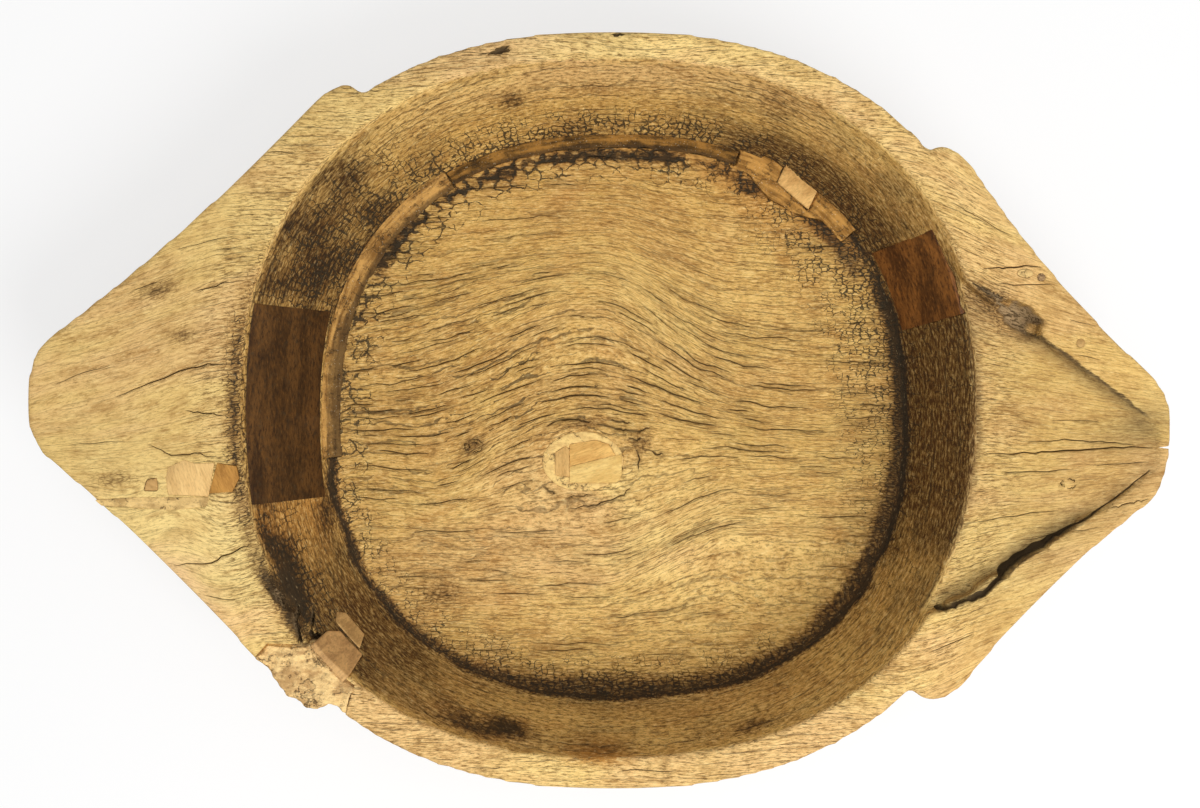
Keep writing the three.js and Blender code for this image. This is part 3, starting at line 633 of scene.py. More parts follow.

# Soot and painted shade: a band at the edge of the floor, clouds on the walls and single marks on rim, lugs and floor.
# Painted shade: the band is widest along the near and right walls, where it stands for their shadow on the floor;
# elsewhere it is soot.
band = 0.035 + ways((0.125, -92, 30), (0.065, -30, 30), (0.03, 10, 30))
soot_and_shade = ways((1.0, -95, 50), (0.9, -30, 34), (0.8, 8, 30), (0.9, -150, 25), (0.85, 172, 30), (1.2, 112, 40))
soot_and_shade = np.minimum(on_floor * ease(1.0 - band, 1.0 - 0.1 * band, floor) * soot_and_shade, 0.95)
soot_and_shade += on_floor * ring_at(floor, 0.94, 0.03) * ways((1.5, 132, 34), (1.3, 84, 22), (0.6, 40, 14)) * patchy(0.5, 0.6)
soot_and_shade += on_floor * ease(0.8, 0.95, floor) * 0.62 * facing_way(30, 22) * patchy(0.4, 0.7)
wall_soot_and_shade = 0.7 * facing_way(152, 16) * patchy(0.4, 0.8)
wall_soot_and_shade += 0.66 * facing_way(-153, 11) * ease(0.2, 0.7, rise) * patchy(0.4, 0.9)
wall_soot_and_shade += ease(0.42, 0.08, rise) * ways((0.58, 95, 50), (0.3, -90, 60)) * patchy(0.4, 0.8)
wall_soot_and_shade += facing_way(-163, 12) * (0.68 * ease(0.5, 0.15, rise) + 0.46 * ease(0.5, 0.85, rise)) * patchy(0.4, 0.7)
wall_soot_and_shade += 1.05 * facing_way(-114, 12) * ease(0.25, 0.7, rise) * patchy(0.5, 0.7)
wall_soot_and_shade += 0.95 * facing_way(-69, 12) * ease(0.45, 0.85, rise) * patchy(0.3, 0.8)
# Painted shade: the right wall darkens towards the floor.
wall_soot_and_shade += 0.4 * facing_way(0, 60) * ease(0.3, 0.02, rise)
soot_and_shade += on_wall * wall_soot_and_shade + rim_ring * rim_edge * ways((0.76, 178, 22), (0.4, -155, 16))
burn = marks_at((1.0, -0.2015, -0.14, 0.024, 0.009, -77), (1.0, -0.215, -0.12, 0.02, 0.005, -55))
soot_and_shade += 0.64 * np.clip(burn, 0.0, 1.0) * ease(0.09, 0.11, height)
recess_soot = marks_at((0.52, 0.255, 0.076, 0.02, 0.012, -30), (0.52, 0.277, 0.062, 0.022, 0.014, -38))
soot_and_shade += recess_soot * ease(0.1, 0.112, height) * ease(0.985, 1.0, mouth)
soot_and_shade += on_top * marks_at(
    (0.74, -0.293, 0.08, 0.02, 0.009, 18), (0.66, -0.3207, -0.0462, 0.022, 0.008), (0.72, -0.276, 0.05, 0.013, 0.007))
soot_and_shade += marks_at(
    (0.84, -0.06, 0.214, 0.012, 0.005, 10), (0.56, 0.122, 0.207, 0.022, 0.009, -25), (0.5, -0.004, 0.222, 0.016, 0.004))
soot_and_shade += on_floor * marks_at(
    (0.7, -0.093, -0.027, 0.014, 0.009, 30), (0.7, -0.012, -0.01, 0.032, 0.006, 10),
    (0.7, -0.115, -0.135, 0.022, 0.014), (0.7, 0.03, -0.024, 0.012, 0.012), (0.75, 0.111, 0.161, 0.016, 0.006, -15))
soot_and_shade += under * 0.15 * blotch

# Reddish wood, and wood rubbed pale by hands and scrapers.
warm = on_wall * 0.8 * facing_way(-163, 9) * ease(0.0, 0.3, rise) + 1.3 * red_streak
warm += 0.28 * on_top * fleck * blotch
warm += on_floor * (0.55 * blotch * fleck + 0.5 * spot(at, 0.112, 0.152, 0.046, 0.015, -33))
worn = on_top * (0.45 + 0.25 * blotch - 0.4 * rim_ring * facing_way(178, 22) + marks_at(
    (0.55, -0.285, -0.1, 0.06, 0.05, -40), (0.25, 0.0, 0.24, 0.12, 0.03), (-0.35, 0.32, 0.0, 0.08, 0.08),
    (-0.25, 0.26, -0.15, 0.05, 0.04), (0.45, -0.28, -0.1, 0.05, 0.04)))
worn += on_floor * (0.16 * blotch + marks_at(
    (0.54, 0.02, -0.1, 0.15, 0.05), (0.4, -0.01, -0.046, 0.06, 0.026), (0.2, 0.04, 0.06, 0.1, 0.06)))
worn += on_wall * (0.45 * facing_way(90, 45) * ease(0.4, 0.85, rise) + 0.2 * facing_way(-92, 40))

# Crazing, fine splits and raised fibres, and putty smeared beside the seam.
crazed = on_floor * ease(0.79, 0.95, floor) * ways((1.0, 170, 34), (1.05, 118, 30), (0.65, 72, 22))
cracked = on_floor * ease(0.8, 0.95, floor) * ways((0.75, -100, 44), (0.6, 60, 22), (0.4, 170, 40))
cracked += on_floor * ease(0.66, 0.92, floor) * ways((0.9, 12, 30), (0.5, 40, 16))
cracked += on_wall * (0.95 * facing_way(150, 22) * ease(1.0, 0.6, rise) + 1.3 * foot_of_wall
                      + 0.3 * facing_way(0, 50) + 0.75 * facing_way(-150, 16) * ease(0.2, 0.7, rise))
cracked += 0.6 * rim_ring * ease(0.11, 0.125, height) * facing_way(178, 24)
split = on_floor * (0.34 + 0.46 * spot(at, -0.07, 0.01, 0.14, 0.08)) + on_wall * 0.3 + 0.1 * on_top + 0.4 * under
hair = 0.5 * on_floor + on_wall * (0.72 + 0.3 * foot_of_wall) + 0.6 * under
hair += on_top * (0.28 + 0.34 * ease(1.16, 1.08, mouth))
smear = ease(0.03, 0.033, height) * ease(0.056, 0.044, height) * ring_at(floor, 0.98, 0.026)
smear *= ways((0.9, 125, 40), (0.85, 75, 25), (0.9, 50, 16), (0.6, 172, 14))
smear += on_floor * (1.1 * ring_at(floor, 0.95, 0.034) * facing_way(52, 15) + marks_at(
    (0.9, 0.1, 0.171, 0.03, 0.012, -20), (0.9, 0.1585, 0.143, 0.02, 0.012, -45)))

# Painted shade under the edges of the recess, over its floor and towards its tip, and inside every cut; rot colour in
# the hollows, and dirt beside the floor cracks.
tops = ease(0.1, 0.112, height) * ease(0.995, 1.02, mouth)
front_off = (at[:, 1] - np.interp(at[:, 0], front_edge[:, 0], front_edge[:, 1])) * 0.84
back_off = beside(at, recess_back)[1]
in_recess = tops * ease(0.0, 0.004, front_off) * ease(0.0, -0.004, back_off) * ease(0.376, 0.368, at[:, 0])
# Painted shade over the recess floor, towards its tip and on the land before its front edge.
shade_and_crack_dirt = in_recess * (0.13 + 0.24 * spot(at, 0.352, -0.018, 0.034, 0.013, -5))
shade_and_crack_dirt += tops * (0.16 * ring_at(front_off, -0.006, 0.008) * ease(0.23, 0.26, at[:, 0]) + marks_at(
    (0.55, 0.364, -0.006, 0.016, 0.012), (0.22, 0.252, 0.066, 0.014, 0.018), (0.12, 0.31, -0.11, 0.065, 0.03, 33)))
lip = tops * ease(0.262, 0.29, at[:, 0]) * ease(0.374, 0.36, at[:, 0])
front_depth = np.interp(
    at[:, 0], [0.215, 0.23, 0.27, 0.305, 0.33, 0.366, 0.374], [0.0, 0.55, 0.95, 1.0, 0.5, 0.35, 0.0])
recess = np.column_stack([back_off, front_off, tops * front_depth])
# Painted shade: deep is how far a place lies inside a cut (crack, trench, pit or socket), and it darkens the cut walls.
deep = ease(0.0002, 0.001, np.array([whole.find_nearest(Vector(place))[3] for place in at]))
rotten = np.clip(spot(at, 0.279, 0.06, 0.024, 0.017, -38) * 1.6 + burn, 0.0, 1.0) * deep
spots = KDTree(sum(len(path) for path in floor_cracks))
for place in np.concatenate(floor_cracks):
    spots.insert((*place, floor_top), 0)
spots.balance()
beside_crack = np.array([spots.find(Vector(place))[2] if place[2] < 0.036 else 1.0 for place in at])
shade_and_crack_dirt += on_floor * 0.26 * ring_at(beside_crack, 0.0, 0.0024)


def paint(piece, label, values):
    kind = "FLOAT_VECTOR" if values.ndim == 2 else "FLOAT"
    domain = "POINT" if len(values) == len(piece.data.vertices) else "CORNER"
    layer = piece.data.attributes.new(label, kind, domain)
    layer.data.foreach_set("vector" if values.ndim == 2 else "value", values.astype(np.float32).ravel())


paint(block, "grain", grain_at)
paint(block, "recess", recess)
marks = dict(soot_and_shade=soot_and_shade, stain=stain, warm=warm, worn=worn, crazed=crazed, cracked=cracked, split=split,
             hair=hair, smear=smear, shade_and_crack_dirt=shade_and_crack_dirt, deep=deep, rotten=rotten, lip=lip)
for label, values in marks.items():
    paint(block, label, np.clip(values, 0.0, 1.3))


def work_on(tree):
    global desk
    desk = tree


def put(kind, sockets=None, **settings):
    made = desk.nodes.new("ShaderNode" + kind)
    for key, value in settings.items():
        setattr(made, key, value)
    for key, value in (sockets or {}).items():
        if isinstance(value, bpy.types.NodeSocket):
            desk.links.new(value, made.inputs[key])
        else:
            made.inputs[key].default_value = value
    return made


def calc(operation, *values, clamp=False):
    return put("Math", dict(enumerate(values)), operation=operation, use_clamp=clamp).outputs[0]


def times(one, other):
    return calc("MULTIPLY", one, other)


def added(value, share, base):
    return calc("MULTIPLY_ADD", value, share, base)


def spread(value, low, high, to_low=0.0, to_high=1.0, kind="SMOOTHSTEP"):
    sockets = {"Value": value, "From Min": low, "From Max": high, "To Min": to_low, "To Max": to_high}
    return put("MapRange", sockets, interpolation_type=kind).outputs[0]


def blend(share, under, over, kind="MIX"):
    made = put("Mix", {0: share, 6: under, 7: over}, data_type="RGBA", blend_type=kind)
    return made.outputs[2]


def layered(shade, *layers):
    for share, over, *kind in layers:
        shade = blend(share, shade, over, *kind)
    return shade


def sized(place, scale):
    return put("Mapping", {"Vector": place, "Scale": scale}).outputs[0]


def noise(place, scale, detail, rough, twist=0.0):
    sockets = {"Vector": sized(place, scale), "Scale": 1.0, "Detail": detail, "Roughness": rough}
    return put("TexNoise", {**sockets, "Distortion": twist}).outputs


def cloud(place, scale, detail=3.0, rough=0.55, twist=0.0):
    return noise(place, scale, detail, rough, twist)[0]


def colour(red, green, blue):
    return (red, green, blue, 1.0)


def ask(label):
    return put("Attribute", attribute_name=label).outputs


def new_group(label, takes, gives):
    tree = bpy.data.node_groups.new(label, "ShaderNodeTree")
    for name in takes:
        tree.interface.new_socket(name, in_out="INPUT", socket_type="NodeSocketVector")
    for name in gives:
        tree.interface.new_socket(name, in_out="OUTPUT", socket_type="NodeSocketFloat")
    work_on(tree)
    return tree, tree.nodes.new("NodeGroupInput").outputs[0], tree.nodes.new("NodeGroupOutput").inputs


def new_finish(label):
    finish = bpy.data.materials.new(label)
    finish.use_nodes = True
    work_on(finish.node_tree)
    return finish, desk.nodes["Principled BSDF"]


def give_clouds(place, given_out, *clouds):
    for label, *settings in clouds:
        desk.links.new(cloud(place, *settings), given_out[label])


def surface(shader, shade, rough, height, strength, depth, shine):
    bump = put("Bump", {"Height": height, "Strength": strength, "Distance": depth})
    for value, socket in ((bump.outputs[0], "Normal"), (shade, "Base Color"), (rough, "Roughness")):
        desk.links.new(value, shader.inputs[socket])
    shader.inputs["Specular IOR Level"].default_value = shine


grain, place, given_out = new_group(
    "weathered_grain", ["Grain"], ["Broad", "Streak", "Fibre", "Grit", "Line", "Hair", "Block", "Crackle", "Opened"])
parts = put("SeparateXYZ", {0: place}).outputs
give_clouds(
    place, given_out,
    ("Broad", (6.0, 17.0, 17.0), 3.0, 0.55), ("Streak", (24.0, 230.0, 170.0), 5.0, 0.66, 0.3),
    ("Fibre", (180.0, 1000.0, 800.0), 5.0, 0.76), ("Grit", (220.0, 520.0, 380.0), 5.0, 0.72),
    ("Opened", (80.0, 120.0, 120.0), 4.0))
across = calc("ADD", parts[1], parts[2])
for label, pitch, gate_size, width in (
        ("Line", 135.0, (12.0, 165.0, 165.0), 0.28), ("Hair", 330.0, (9.0, 420.0, 420.0), 0.26)):
    sway = cloud(place, (24.0, 50.0, 50.0), 4.0, 0.6)
    wander = added(sway, 3.6, times(across, pitch))
    middle = calc("ABSOLUTE", calc("SUBTRACT", calc("FRACT", wander), 0.5))
    gate = cloud(place, gate_size, 2.0, 0.5)
    open_width = spread(gate, 0.47, 0.76, 0.0005, width, "LINEAR")
    opening = spread(middle, times(open_width, 0.3), open_width, 1.0, 0.0)
    desk.links.new(opening, given_out[label])
in_cm = {0: times(parts[0], 100.0), 1: times(across, 100.0)}
flat = put("CombineXYZ", in_cm).outputs[0]
for size, push in ((38.0, (1.3, 1.0, 0.0)), (130.0, (0.6, 0.45, 0.0)), (420.0, (0.34, 0.28, 0.0))):
    jolt = noise(place, (size, size, size), 3.0, 0.6)[1]
    flat = put("VectorMath", {0: jolt, 1: push, 2: flat}, operation="MULTIPLY_ADD").outputs[0]
for label, wide, high, loose in (("Block", 1.05, 0.8, 0.74), ("Crackle", 0.5, 0.29, 0.66)):
    cells = sized(flat, (1.0 / wide, 1.0 / high, 1.0))
    made = put("TexVoronoi", {"Vector": cells, "Scale": 1.0, "Randomness": loose},
               feature="DISTANCE_TO_EDGE", voronoi_dimensions="2D")
    desk.links.new(made.outputs["Distance"], given_out[label])

old_wood, shader = new_finish("old_wood")
where = ask("grain")["Vector"]
pattern = put("Group", {"Grain": where}, node_tree=grain)
broad, streak, fibre, grit, line, hair, chunk, cell, opened = pattern.outputs
marked = {label: ask(label)["Fac"] for label in marks}
patches = cloud(where, (55.0, 95.0, 95.0), 6.0, 0.68)
tone = added(streak, 0.42, added(broad, 0.22, times(patches, 0.36)))
ramp = put("ValToRGB", {0: tone})
steps = ramp.color_ramp.elements
steps[0].position, steps[0].color = 0.36, colour(0.4, 0.2, 0.044)
steps[1].position, steps[1].color = 0.63, colour(0.84, 0.55, 0.165)
steps.new(0.5).color = colour(0.66, 0.39, 0.102)
pale = blend(spread(broad, 0.4, 0.6), colour(0.95, 0.63, 0.3), colour(0.99, 0.735, 0.285))
rubbed = times(marked["worn"], spread(tone, 0.32, 0.56, 0.35, 1.0))
roughened = spread(marked["hair"], 0.2, 0.7, 0.4, 1.0)
filled = spread(added(patches, 0.9, marked["smear"]), 0.72, 0.98)
glue = blend(spread(grit, 0.35, 0.65), colour(0.4, 0.195, 0.042), colour(0.64, 0.345, 0.092))
browned = spread(added(streak, 0.55, added(patches, 0.45, marked["stain"])), 0.58, 1.24)
browned = times(browned, spread(fibre, 0.42, 0.64, 1.0, 0.52))

open_grain = calc("ADD", spread(fibre, 0.42, 0.62, 0.0, 0.2), spread(cell, 0.05, 0.24, 0.0, 0.16))
islands = times(marked["crazed"], spread(chunk, 0.1, 0.26, 0.0, 0.34))
blotted = added(grit, 0.5, times(patches, 0.46))
blotted = calc("SUBTRACT", blotted, calc("ADD", open_grain, islands))
blotted = added(streak, 0.4, calc("SUBTRACT", blotted, 0.2))
sooted_and_shaded = spread(calc("ADD", blotted, marked["soot_and_shade"]), 0.42, 1.4, 0.0, 0.96)

# Painted shade under the back and front edges of the recess, joined with the painted shade and crack dirt above.
edges = put("SeparateXYZ", {0: ask("recess")["Vector"]}).outputs
jag = added(grit, 0.003, added(patches, 0.005, -0.004))
back, front = calc("ADD", edges[0], jag), calc("ADD", edges[1], jag)
under_back = times(calc("POWER", spread(back, -0.014, 0.001, kind="LINEAR"), 1.5), 0.85)
under_back = calc("MAXIMUM", under_back, spread(back, -0.0016, 0.0006))
under_back = times(under_back, times(spread(back, 0.0014, 0.0028, 1.0, 0.0), marked["lip"]))
under_front = times(calc("POWER", spread(front, 0.021, 0.0, kind="LINEAR"), 1.4), edges[2])
under_front = times(under_front, spread(front, -0.003, -0.0015))
shaded_and_dirtied = calc("MAXIMUM", calc("MAXIMUM", under_back, under_front), marked["shade_and_crack_dirt"])

hairs = times(hair, times(marked["hair"], 0.8))
gap = calc("MAXIMUM", times(line, marked["split"]), hairs)
for mask, edge, widest in (("crazed", chunk, 0.16), ("cracked", cell, 0.18)):
    open_to = times(marked[mask], spread(opened, 0.38, 0.6, 0.0, widest))
    joint = spread(edge, times(open_to, 0.35), calc("ADD", open_to, 0.002), 1.0, 0.0)
    gap = calc("MAXIMUM", gap, times(joint, spread(open_to, 0.004, 0.05)), clamp=True)
flecks = spread(cloud(where, (230.0, 1000.0, 1000.0), 3.0, 0.6), 0.6, 0.7)
lifted = calc("ADD", marked["cracked"], calc("ADD", marked["crazed"], marked["soot_and_shade"]), clamp=True)

shade = layered(
    ramp.outputs[0],
    (rubbed, pale),
    (spread(patches, 0.3, 0.5, 0.42, 0.0), colour(0.4, 0.205, 0.052)),
    (times(marked["warm"], 0.8), colour(0.52, 0.225, 0.038)),
    (times(spread(fibre, 0.36, 0.53, 0.92, 0.0), roughened), colour(0.165, 0.085, 0.02)),
    (times(spread(fibre, 0.53, 0.66, 0.0, 0.64), roughened), colour(0.98, 0.74, 0.32)),
    (spread(grit, 0.32, 0.47, 0.58, 0.0), colour(0.26, 0.14, 0.038)),
    (spread(grit, 0.54, 0.68, 0.0, 0.46), colour(0.98, 0.75, 0.33)),
    (times(filled, 0.85), glue),
    (browned, colour(0.075, 0.031, 0.006)),
    # Soot, with the painted shade at the foot of the walls, browns the wood and then blackens it.
    (sooted_and_shaded, colour(0.38, 0.26, 0.15), "MULTIPLY"),
    (calc("POWER", sooted_and_shaded, 2.6), colour(0.03, 0.02, 0.009)),
    # Painted shade of the recess, with the dirt beside the floor cracks.
    (times(shaded_and_dirtied, spread(grit, 0.35, 0.65, 1.0, 0.78)), colour(0.092, 0.056, 0.022)),
    (times(gap, 0.88), colour(0.036, 0.026, 0.013)),
    # Painted shade inside the cuts.
    (times(marked["deep"], 0.94), colour(0.052, 0.031, 0.012)),
    (times(marked["rotten"], spread(grit, 0.44, 0.54, 0.1, 0.95)), colour(0.44, 0.3, 0.15)),
    (times(flecks, times(lifted, 0.3)), colour(0.66, 0.47, 0.23)))
relief = added(fibre, 0.5, added(streak, 0.35, times(grit, 0.35)))
sound = added(calc("SUBTRACT", marked["rotten"], marked["deep"]), 1.0, 1.0)
relief = times(added(gap, -1.1, relief), sound)
surface(shader, shade, spread(fibre, 0.3, 0.7, 0.92, 0.74), relief, 0.75, 0.0014, 0.25)
block.data.materials.clear()
block.data.materials.append(old_wood)
block.data.polygons.foreach_set("material_index", [0] * len(block.data.polygons))
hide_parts("bowl_body")
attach(block, "root")


# ---- Dark panel in the left wall and red panel in the right wall ----
# Two flat boards of close dark hardwood, planed and let into the trough wall with a tight joint, dressed to the
# curve of the wall. The left one is nearly black-brown, the right one redder.
fine, place, given_out = new_group("board_grain", ["Place"], ["Figure", "Pore", "Grit"])
give_clouds(
    place, given_out,
    ("Figure", (24.0, 110.0, 50.0), 4.0, 0.6, 0.6), ("Pore", (210.0, 900.0, 300.0), 4.0, 0.7),
    ("Grit", (260.0, 260.0, 200.0), 5.0, 0.7))


def board_finish(label, dark, light, turn, soiled, rough, pored=0.35):
    finish, shader = new_finish(label)
    here = put("TexCoord").outputs["Object"]
    turned = put("Mapping", {"Vector": here, "Rotation": tuple(math.radians(a) for a in turn)})
    pattern = put("Group", {0: turned.outputs[0]}, node_tree=fine)
    figure, pore, grit = pattern.outputs
    shade = blend(spread(figure, 0.32, 0.66), dark, light)
    darkest = colour(*(0.45 * c for c in dark[:3]))
    lightest = colour(*(min(1.0, 1.5 * c) for c in light[:3]))
    shade = layered(
        shade,
        (spread(pore, 0.34, 0.52, pored, 0.0), darkest),
        (spread(pore, 0.54, 0.7, 0.0, 0.7 * pored), lightest),
        (spread(grit, 0.52, 0.72, 0.0, soiled), colour(0.05, 0.035, 0.018)))
    height = added(pore, 0.5, times(grit, 0.4))
    surface(shader, shade, spread(pore, 0.3, 0.7, rough + 0.1, rough - 0.08), height, 0.35, 0.0006, 0.3)
    return finish


def wood_mend(name, finish):
    piece = solid_copy("mend_" + name, name)
    move_to(piece, places(piece) + 0.0001 * facings(piece) * (places(piece)[:, 2:] < rim_top - 0.0005))
    if name in worn_chips:
        worn_round(piece)
    else:
        work(piece, "BEVEL", width=0.00012, segments=2, limit_method="ANGLE", angle_limit=math.radians(35))
    bpy.ops.object.shade_smooth_by_angle(angle=math.radians(30))
    piece.data.materials.append(finish)
    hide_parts(name)
    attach(piece, "root")


def wood_mends(*mends):
    for name, slot, label, dark, light, *settings in mends:
        wood_mend(name, board_finish(label, colour(*dark), colour(*light), *settings))


wood_mends(
    ("left_wall_patch", "dark_hardwood", "dark_board",
     (0.04, 0.0155, 0.0032), (0.118, 0.051, 0.012), (0, 0, 90), 0.6, 0.62, 0.85),
    ("right_wall_patch", "red_hardwood", "red_board",
     (0.072, 0.022, 0.0036), (0.245, 0.092, 0.0175), (0, 0, 75), 0.3, 0.58, 0.85))


# ---- Plug in the floor, plug in the left lug and the loose chips ----
# Offcuts of paler wood driven into old holes: two wedges and a slip in the knot hole, a plug, wedge and chip in
# the lug, and chips bedded in the putty at the broken corner and at the foot of the far wall.
wood_mends(
    ("floor_plug_light", "pale_wood", "pale_wedge", (0.7, 0.44, 0.13), (0.88, 0.62, 0.22), (0, 0, -14), 0.12, 0.75),
    ("floor_plug_dark", "brown_wood", "tan_wedge", (0.62, 0.33, 0.085), (0.86, 0.53, 0.16), (0, 0, -20), 0.15, 0.75),
    ("floor_plug_side", "brown_wood", "tan_slip", (0.56, 0.32, 0.1), (0.72, 0.45, 0.16), (0, 0, 80), 0.2, 0.8),
    ("lug_plug", "pale_wood", "striped_plug", (0.62, 0.37, 0.13), (0.8, 0.52, 0.205), (0, 0, 72), 0.1, 0.75),
    ("lug_wedge", "brown_wood", "brown_wedge", (0.34, 0.15, 0.026), (0.54, 0.265, 0.055), (0, 0, 65), 0.2, 0.75),
    ("lug_chip", "pale_wood", "lug_chip_wood", (0.46, 0.26, 0.085), (0.6, 0.36, 0.13), (0, 0, 30), 0.3, 0.8),
    ("corner_chip", "brown_wood", "corner_chip_wood", (0.42, 0.23, 0.085), (0.66, 0.39, 0.15), (0, 0, -40), 0.4, 0.8),
    ("corner_sliver", "pale_wood", "corner_sliver_wood", (0.4, 0.23, 0.08), (0.62, 0.38, 0.14), (0, 0, -50), 0.1, 0.8),
    ("seam_chip", "pale_wood", "seam_chip_wood", (0.58, 0.32, 0.1), (0.8, 0.49, 0.17), (0, 0, -35), 0.3, 0.8),
    ("cheek_peg", "brown_wood", "peg_wood", (0.42, 0.24, 0.075), (0.6, 0.38, 0.14), (0, 90, 0), 0.35, 0.8))


# ---- Putty ----
# Sawdust and glue pressed into the gaps by hand and left rough: round the floor plug, along the crack of the left
# lug, as the made-up corner of the rim, along the foot of the wall and in an old hole of the right lug.
def putty_finish(label, dark, light, soiled, rough_size=0.0012):
    finish, shader = new_finish(label)
    here = put("TexCoord").outputs["Object"]
    pattern = put("Group", {0: here}, node_tree=fine)
    grit = pattern.outputs["Grit"]
    run = ask("run")["Vector"]
    drawn_out = cloud(run, (28.0, 330.0, 330.0), 4.0, 0.65)
    mottle = times(cloud(here, (70.0, 70.0, 70.0), 4.0, 0.6), 0.5)
    mottle = added(drawn_out, 0.5, mottle)
    border = spread(added(grit, 0.9, ask("border")["Fac"]), 0.75, 1.35)
    vein = calc("ABSOLUTE", calc("SUBTRACT", cloud(here, (60.0, 60.0, 60.0), 5.0, 0.6), 0.5))
    vein = times(spread(vein, 0.003, 0.012, 1.0, 0.0), spread(mottle, 0.44, 0.56, 1.0, 0.0))
    specks = cloud(here, (900.0, 900.0, 900.0), 2.0)
    shade = layered(
        blend(spread(mottle, 0.38, 0.6), dark, light),
        (spread(grit, 0.3, 0.47, soiled, 0.0), colour(0.07, 0.045, 0.02)),
        (times(border, 0.8), colour(0.07, 0.038, 0.014)),
        (times(vein, 0.8), colour(0.1, 0.06, 0.025)),
        (spread(specks, 0.66, 0.74, 0.0, 0.5), colour(0.9, 0.8, 0.58)))
    height = added(grit, 0.9, added(specks, 0.3, times(vein, -0.8)))
    surface(shader, shade, spread(grit, 0.3, 0.7, 0.95, 0.8), height, 0.8, rough_size, 0.2)
    return finish


def putty_mend(name, finish, grain_size, lumps, seed, dark_border=0.0, swell=0.0002, eased=3, thin_from=360.0):
    piece = solid_copy("mend_" + name, name)
    work(piece, "REMESH", mode="VOXEL", voxel_size=grain_size)
    work(piece, "SMOOTH", iterations=eased)
    at, out = places(piece), facings(piece)
    share = oval_share(at, floor_oval)
    turned = np.arctan2(at[:, 1], at[:, 0])
    run = np.column_stack([turned * 0.2, share * 0.2, at[:, 2]]) if dark_border else at * [5.0, 1.0, 1.0]
    from_middle = (share - np.median(share)) / np.ptp(share)
    open_side = np.array([whole.find_nearest(Vector(place))[3] < 0.0025 for place in at])
    lump = 0.5 + 0.35 * ripple(at, 0.02, seed) + 0.25 * ripple(at, 0.008, seed + 1)
    at += out * (swell - lumps * lump * open_side)[:, None]
    at[:, 2] = np.minimum(at[:, 2], rim_top)
    move_to(piece, at)
    paint(piece, "run", run)
    border = dark_border * ease(0.2, 0.48, np.abs(from_middle))
    border += 0.7 * ease(thin_from, thin_from + 12.0, np.degrees(turned) % 360.0) * ease(0.12, -0.1, from_middle)
    paint(piece, "border", border)
    pick(piece)
    bpy.ops.object.shade_smooth()
    piece.data.materials.append(finish)
    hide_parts(name)
    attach(piece, "root")


pale_putty = putty_finish("pale_putty", colour(0.66, 0.42, 0.15), colour(0.9, 0.63, 0.235), 0.22)
lump_putty = putty_finish("lump_putty", colour(0.54, 0.32, 0.125), colour(0.98, 0.68, 0.295), 0.6, 0.003)
grey_putty = putty_finish("grey_putty", colour(0.44, 0.275, 0.1), colour(0.8, 0.545, 0.215), 0.55)
tan_putty = putty_finish("tan_putty", colour(0.24, 0.115, 0.027), colour(0.62, 0.345, 0.098), 0.62, 0.0018)
brown_putty = putty_finish("brown_putty", colour(0.055, 0.026, 0.005), colour(0.35, 0.168, 0.033), 0.8, 0.0018)
orange_putty = putty_finish("orange_putty", colour(0.26, 0.122, 0.026), colour(0.62, 0.325, 0.08), 0.5, 0.0018)
putty_mend("floor_plug_filler", pale_putty, 0.0009, 0.0006, 71, swell=0.0005)
putty_mend("lug_filler", grey_putty, 0.0005, 0.0003, 73, swell=0.0004)
putty_mend("corner_filler", lump_putty, 0.0012, 0.0046, 75, swell=0.0006)
putty_mend("seam_filler_left", tan_putty, 0.001, 0.0016, 77, 0.8, 0.0004, 6, 152.0)
putty_mend("seam_filler_top", brown_putty, 0.001, 0.0016, 79, 0.85, 0.0004, 6)
putty_mend("seam_filler_right", orange_putty, 0.001, 0.0016, 81, 0.4, 0.0004, 6)
putty_mend("cheek_filler", grey_putty, 0.0006, 0.0004, 83)


# ---- Nail ----
# A wrought nail driven into the right lug to close a crack, its head rusted brown and level with the wood.
nail = solid_copy("mend_cheek_nail", "cheek_nail")
work(nail, "BEVEL", width=0.0006, segments=2, limit_method="ANGLE", angle_limit=math.radians(50))
bpy.ops.object.shade_smooth_by_angle(angle=math.radians(35))
rust, shader = new_finish("rusted_iron")
here = put("TexCoord").outputs["Object"]
crust = cloud(here, (700.0, 700.0, 700.0), 5.0, 0.7)
shade = blend(spread(crust, 0.38, 0.62), colour(0.16, 0.09, 0.04), colour(0.45, 0.28, 0.12))
surface(shader, shade, spread(crust, 0.3, 0.7, 0.55, 0.9), crust, 0.6, 0.0006, 0.5)
desk.links.new(spread(crust, 0.4, 0.6, 0.7, 0.1), shader.inputs["Metallic"])
nail.data.materials.append(rust)
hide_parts("cheek_nail")
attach(nail, "root")


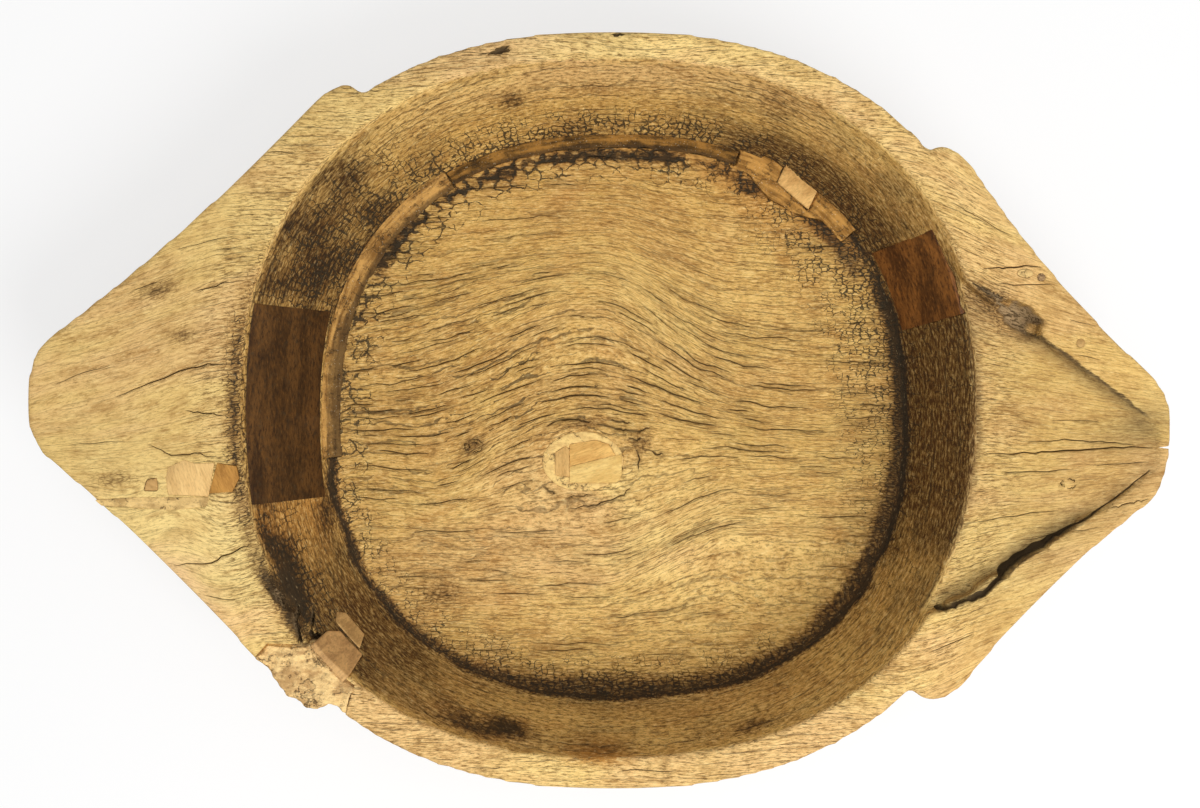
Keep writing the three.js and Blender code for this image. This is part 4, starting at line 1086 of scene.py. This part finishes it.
# ---- Floor, light and camera ----
# A plain white floor in a pale room, with one broad soft lamp overhead and one towards the near right. The camera
# looks straight down from a metre above the rim, as the photograph does.
bpy.ops.object.select_all(action="DESELECT")
bpy.ops.mesh.primitive_plane_add(size=12.0, location=(0.0, 0.0, 0.0))
ground = bpy.context.object
ground.name = "ground"
white, shader = new_finish("white_floor")
shader.inputs["Base Color"].default_value = colour(0.88, 0.88, 0.88)
shader.inputs["Roughness"].default_value = 0.9
shader.inputs["Specular IOR Level"].default_value = 0.0
ray = put("LightPath").outputs
mirrored = calc("MAXIMUM", ray["Is Glossy Ray"], ray["Is Transmission Ray"])
floor_glow = 0.62
seen = times(calc("MAXIMUM", ray["Is Camera Ray"], mirrored), floor_glow)
glow = put("Emission", {"Color": colour(1.0, 1.0, 1.0), "Strength": 1.0})
mixed = put("MixShader", {0: seen, 1: shader.outputs[0], 2: glow.outputs[0]})
desk.links.new(mixed.outputs[0], desk.nodes["Material Output"].inputs["Surface"])
ground.data.materials.append(white)

room = bpy.data.worlds.new("room")
room.use_nodes = True
sky = room.node_tree.nodes["Background"].inputs
sky["Color"].default_value = colour(1.0, 1.0, 1.0)
sky["Strength"].default_value = 0.55
bpy.context.scene.world = room


def soft_lamp(label, place, target, size, power):
    bpy.ops.object.light_add(type="AREA", location=place)
    lamp = bpy.context.object
    lamp.name = label
    lamp.data.shape = "DISK"
    lamp.data.size = size
    lamp.data.energy = power
    lamp.rotation_euler = (Vector(target) - Vector(place)).to_track_quat("-Z", "Y").to_euler()


soft_lamp("key_lamp", (0.75, -0.95, 1.75), (0.0, 0.0, 0.05), 1.1, 26.0)
soft_lamp("top_lamp", (0.0, 0.1, 2.6), (0.0, 0.0, 0.05), 1.8, 14.0)

bpy.ops.object.camera_add(location=(0.00066, 0.00417, 1.14), rotation=(0.0, 0.0, 0.0))
camera = bpy.context.object
camera.data.sensor_width = 36.0
camera.data.lens = 45.28
bpy.context.scene.camera = camera
bpy.context.scene.view_settings.view_transform = "Standard"
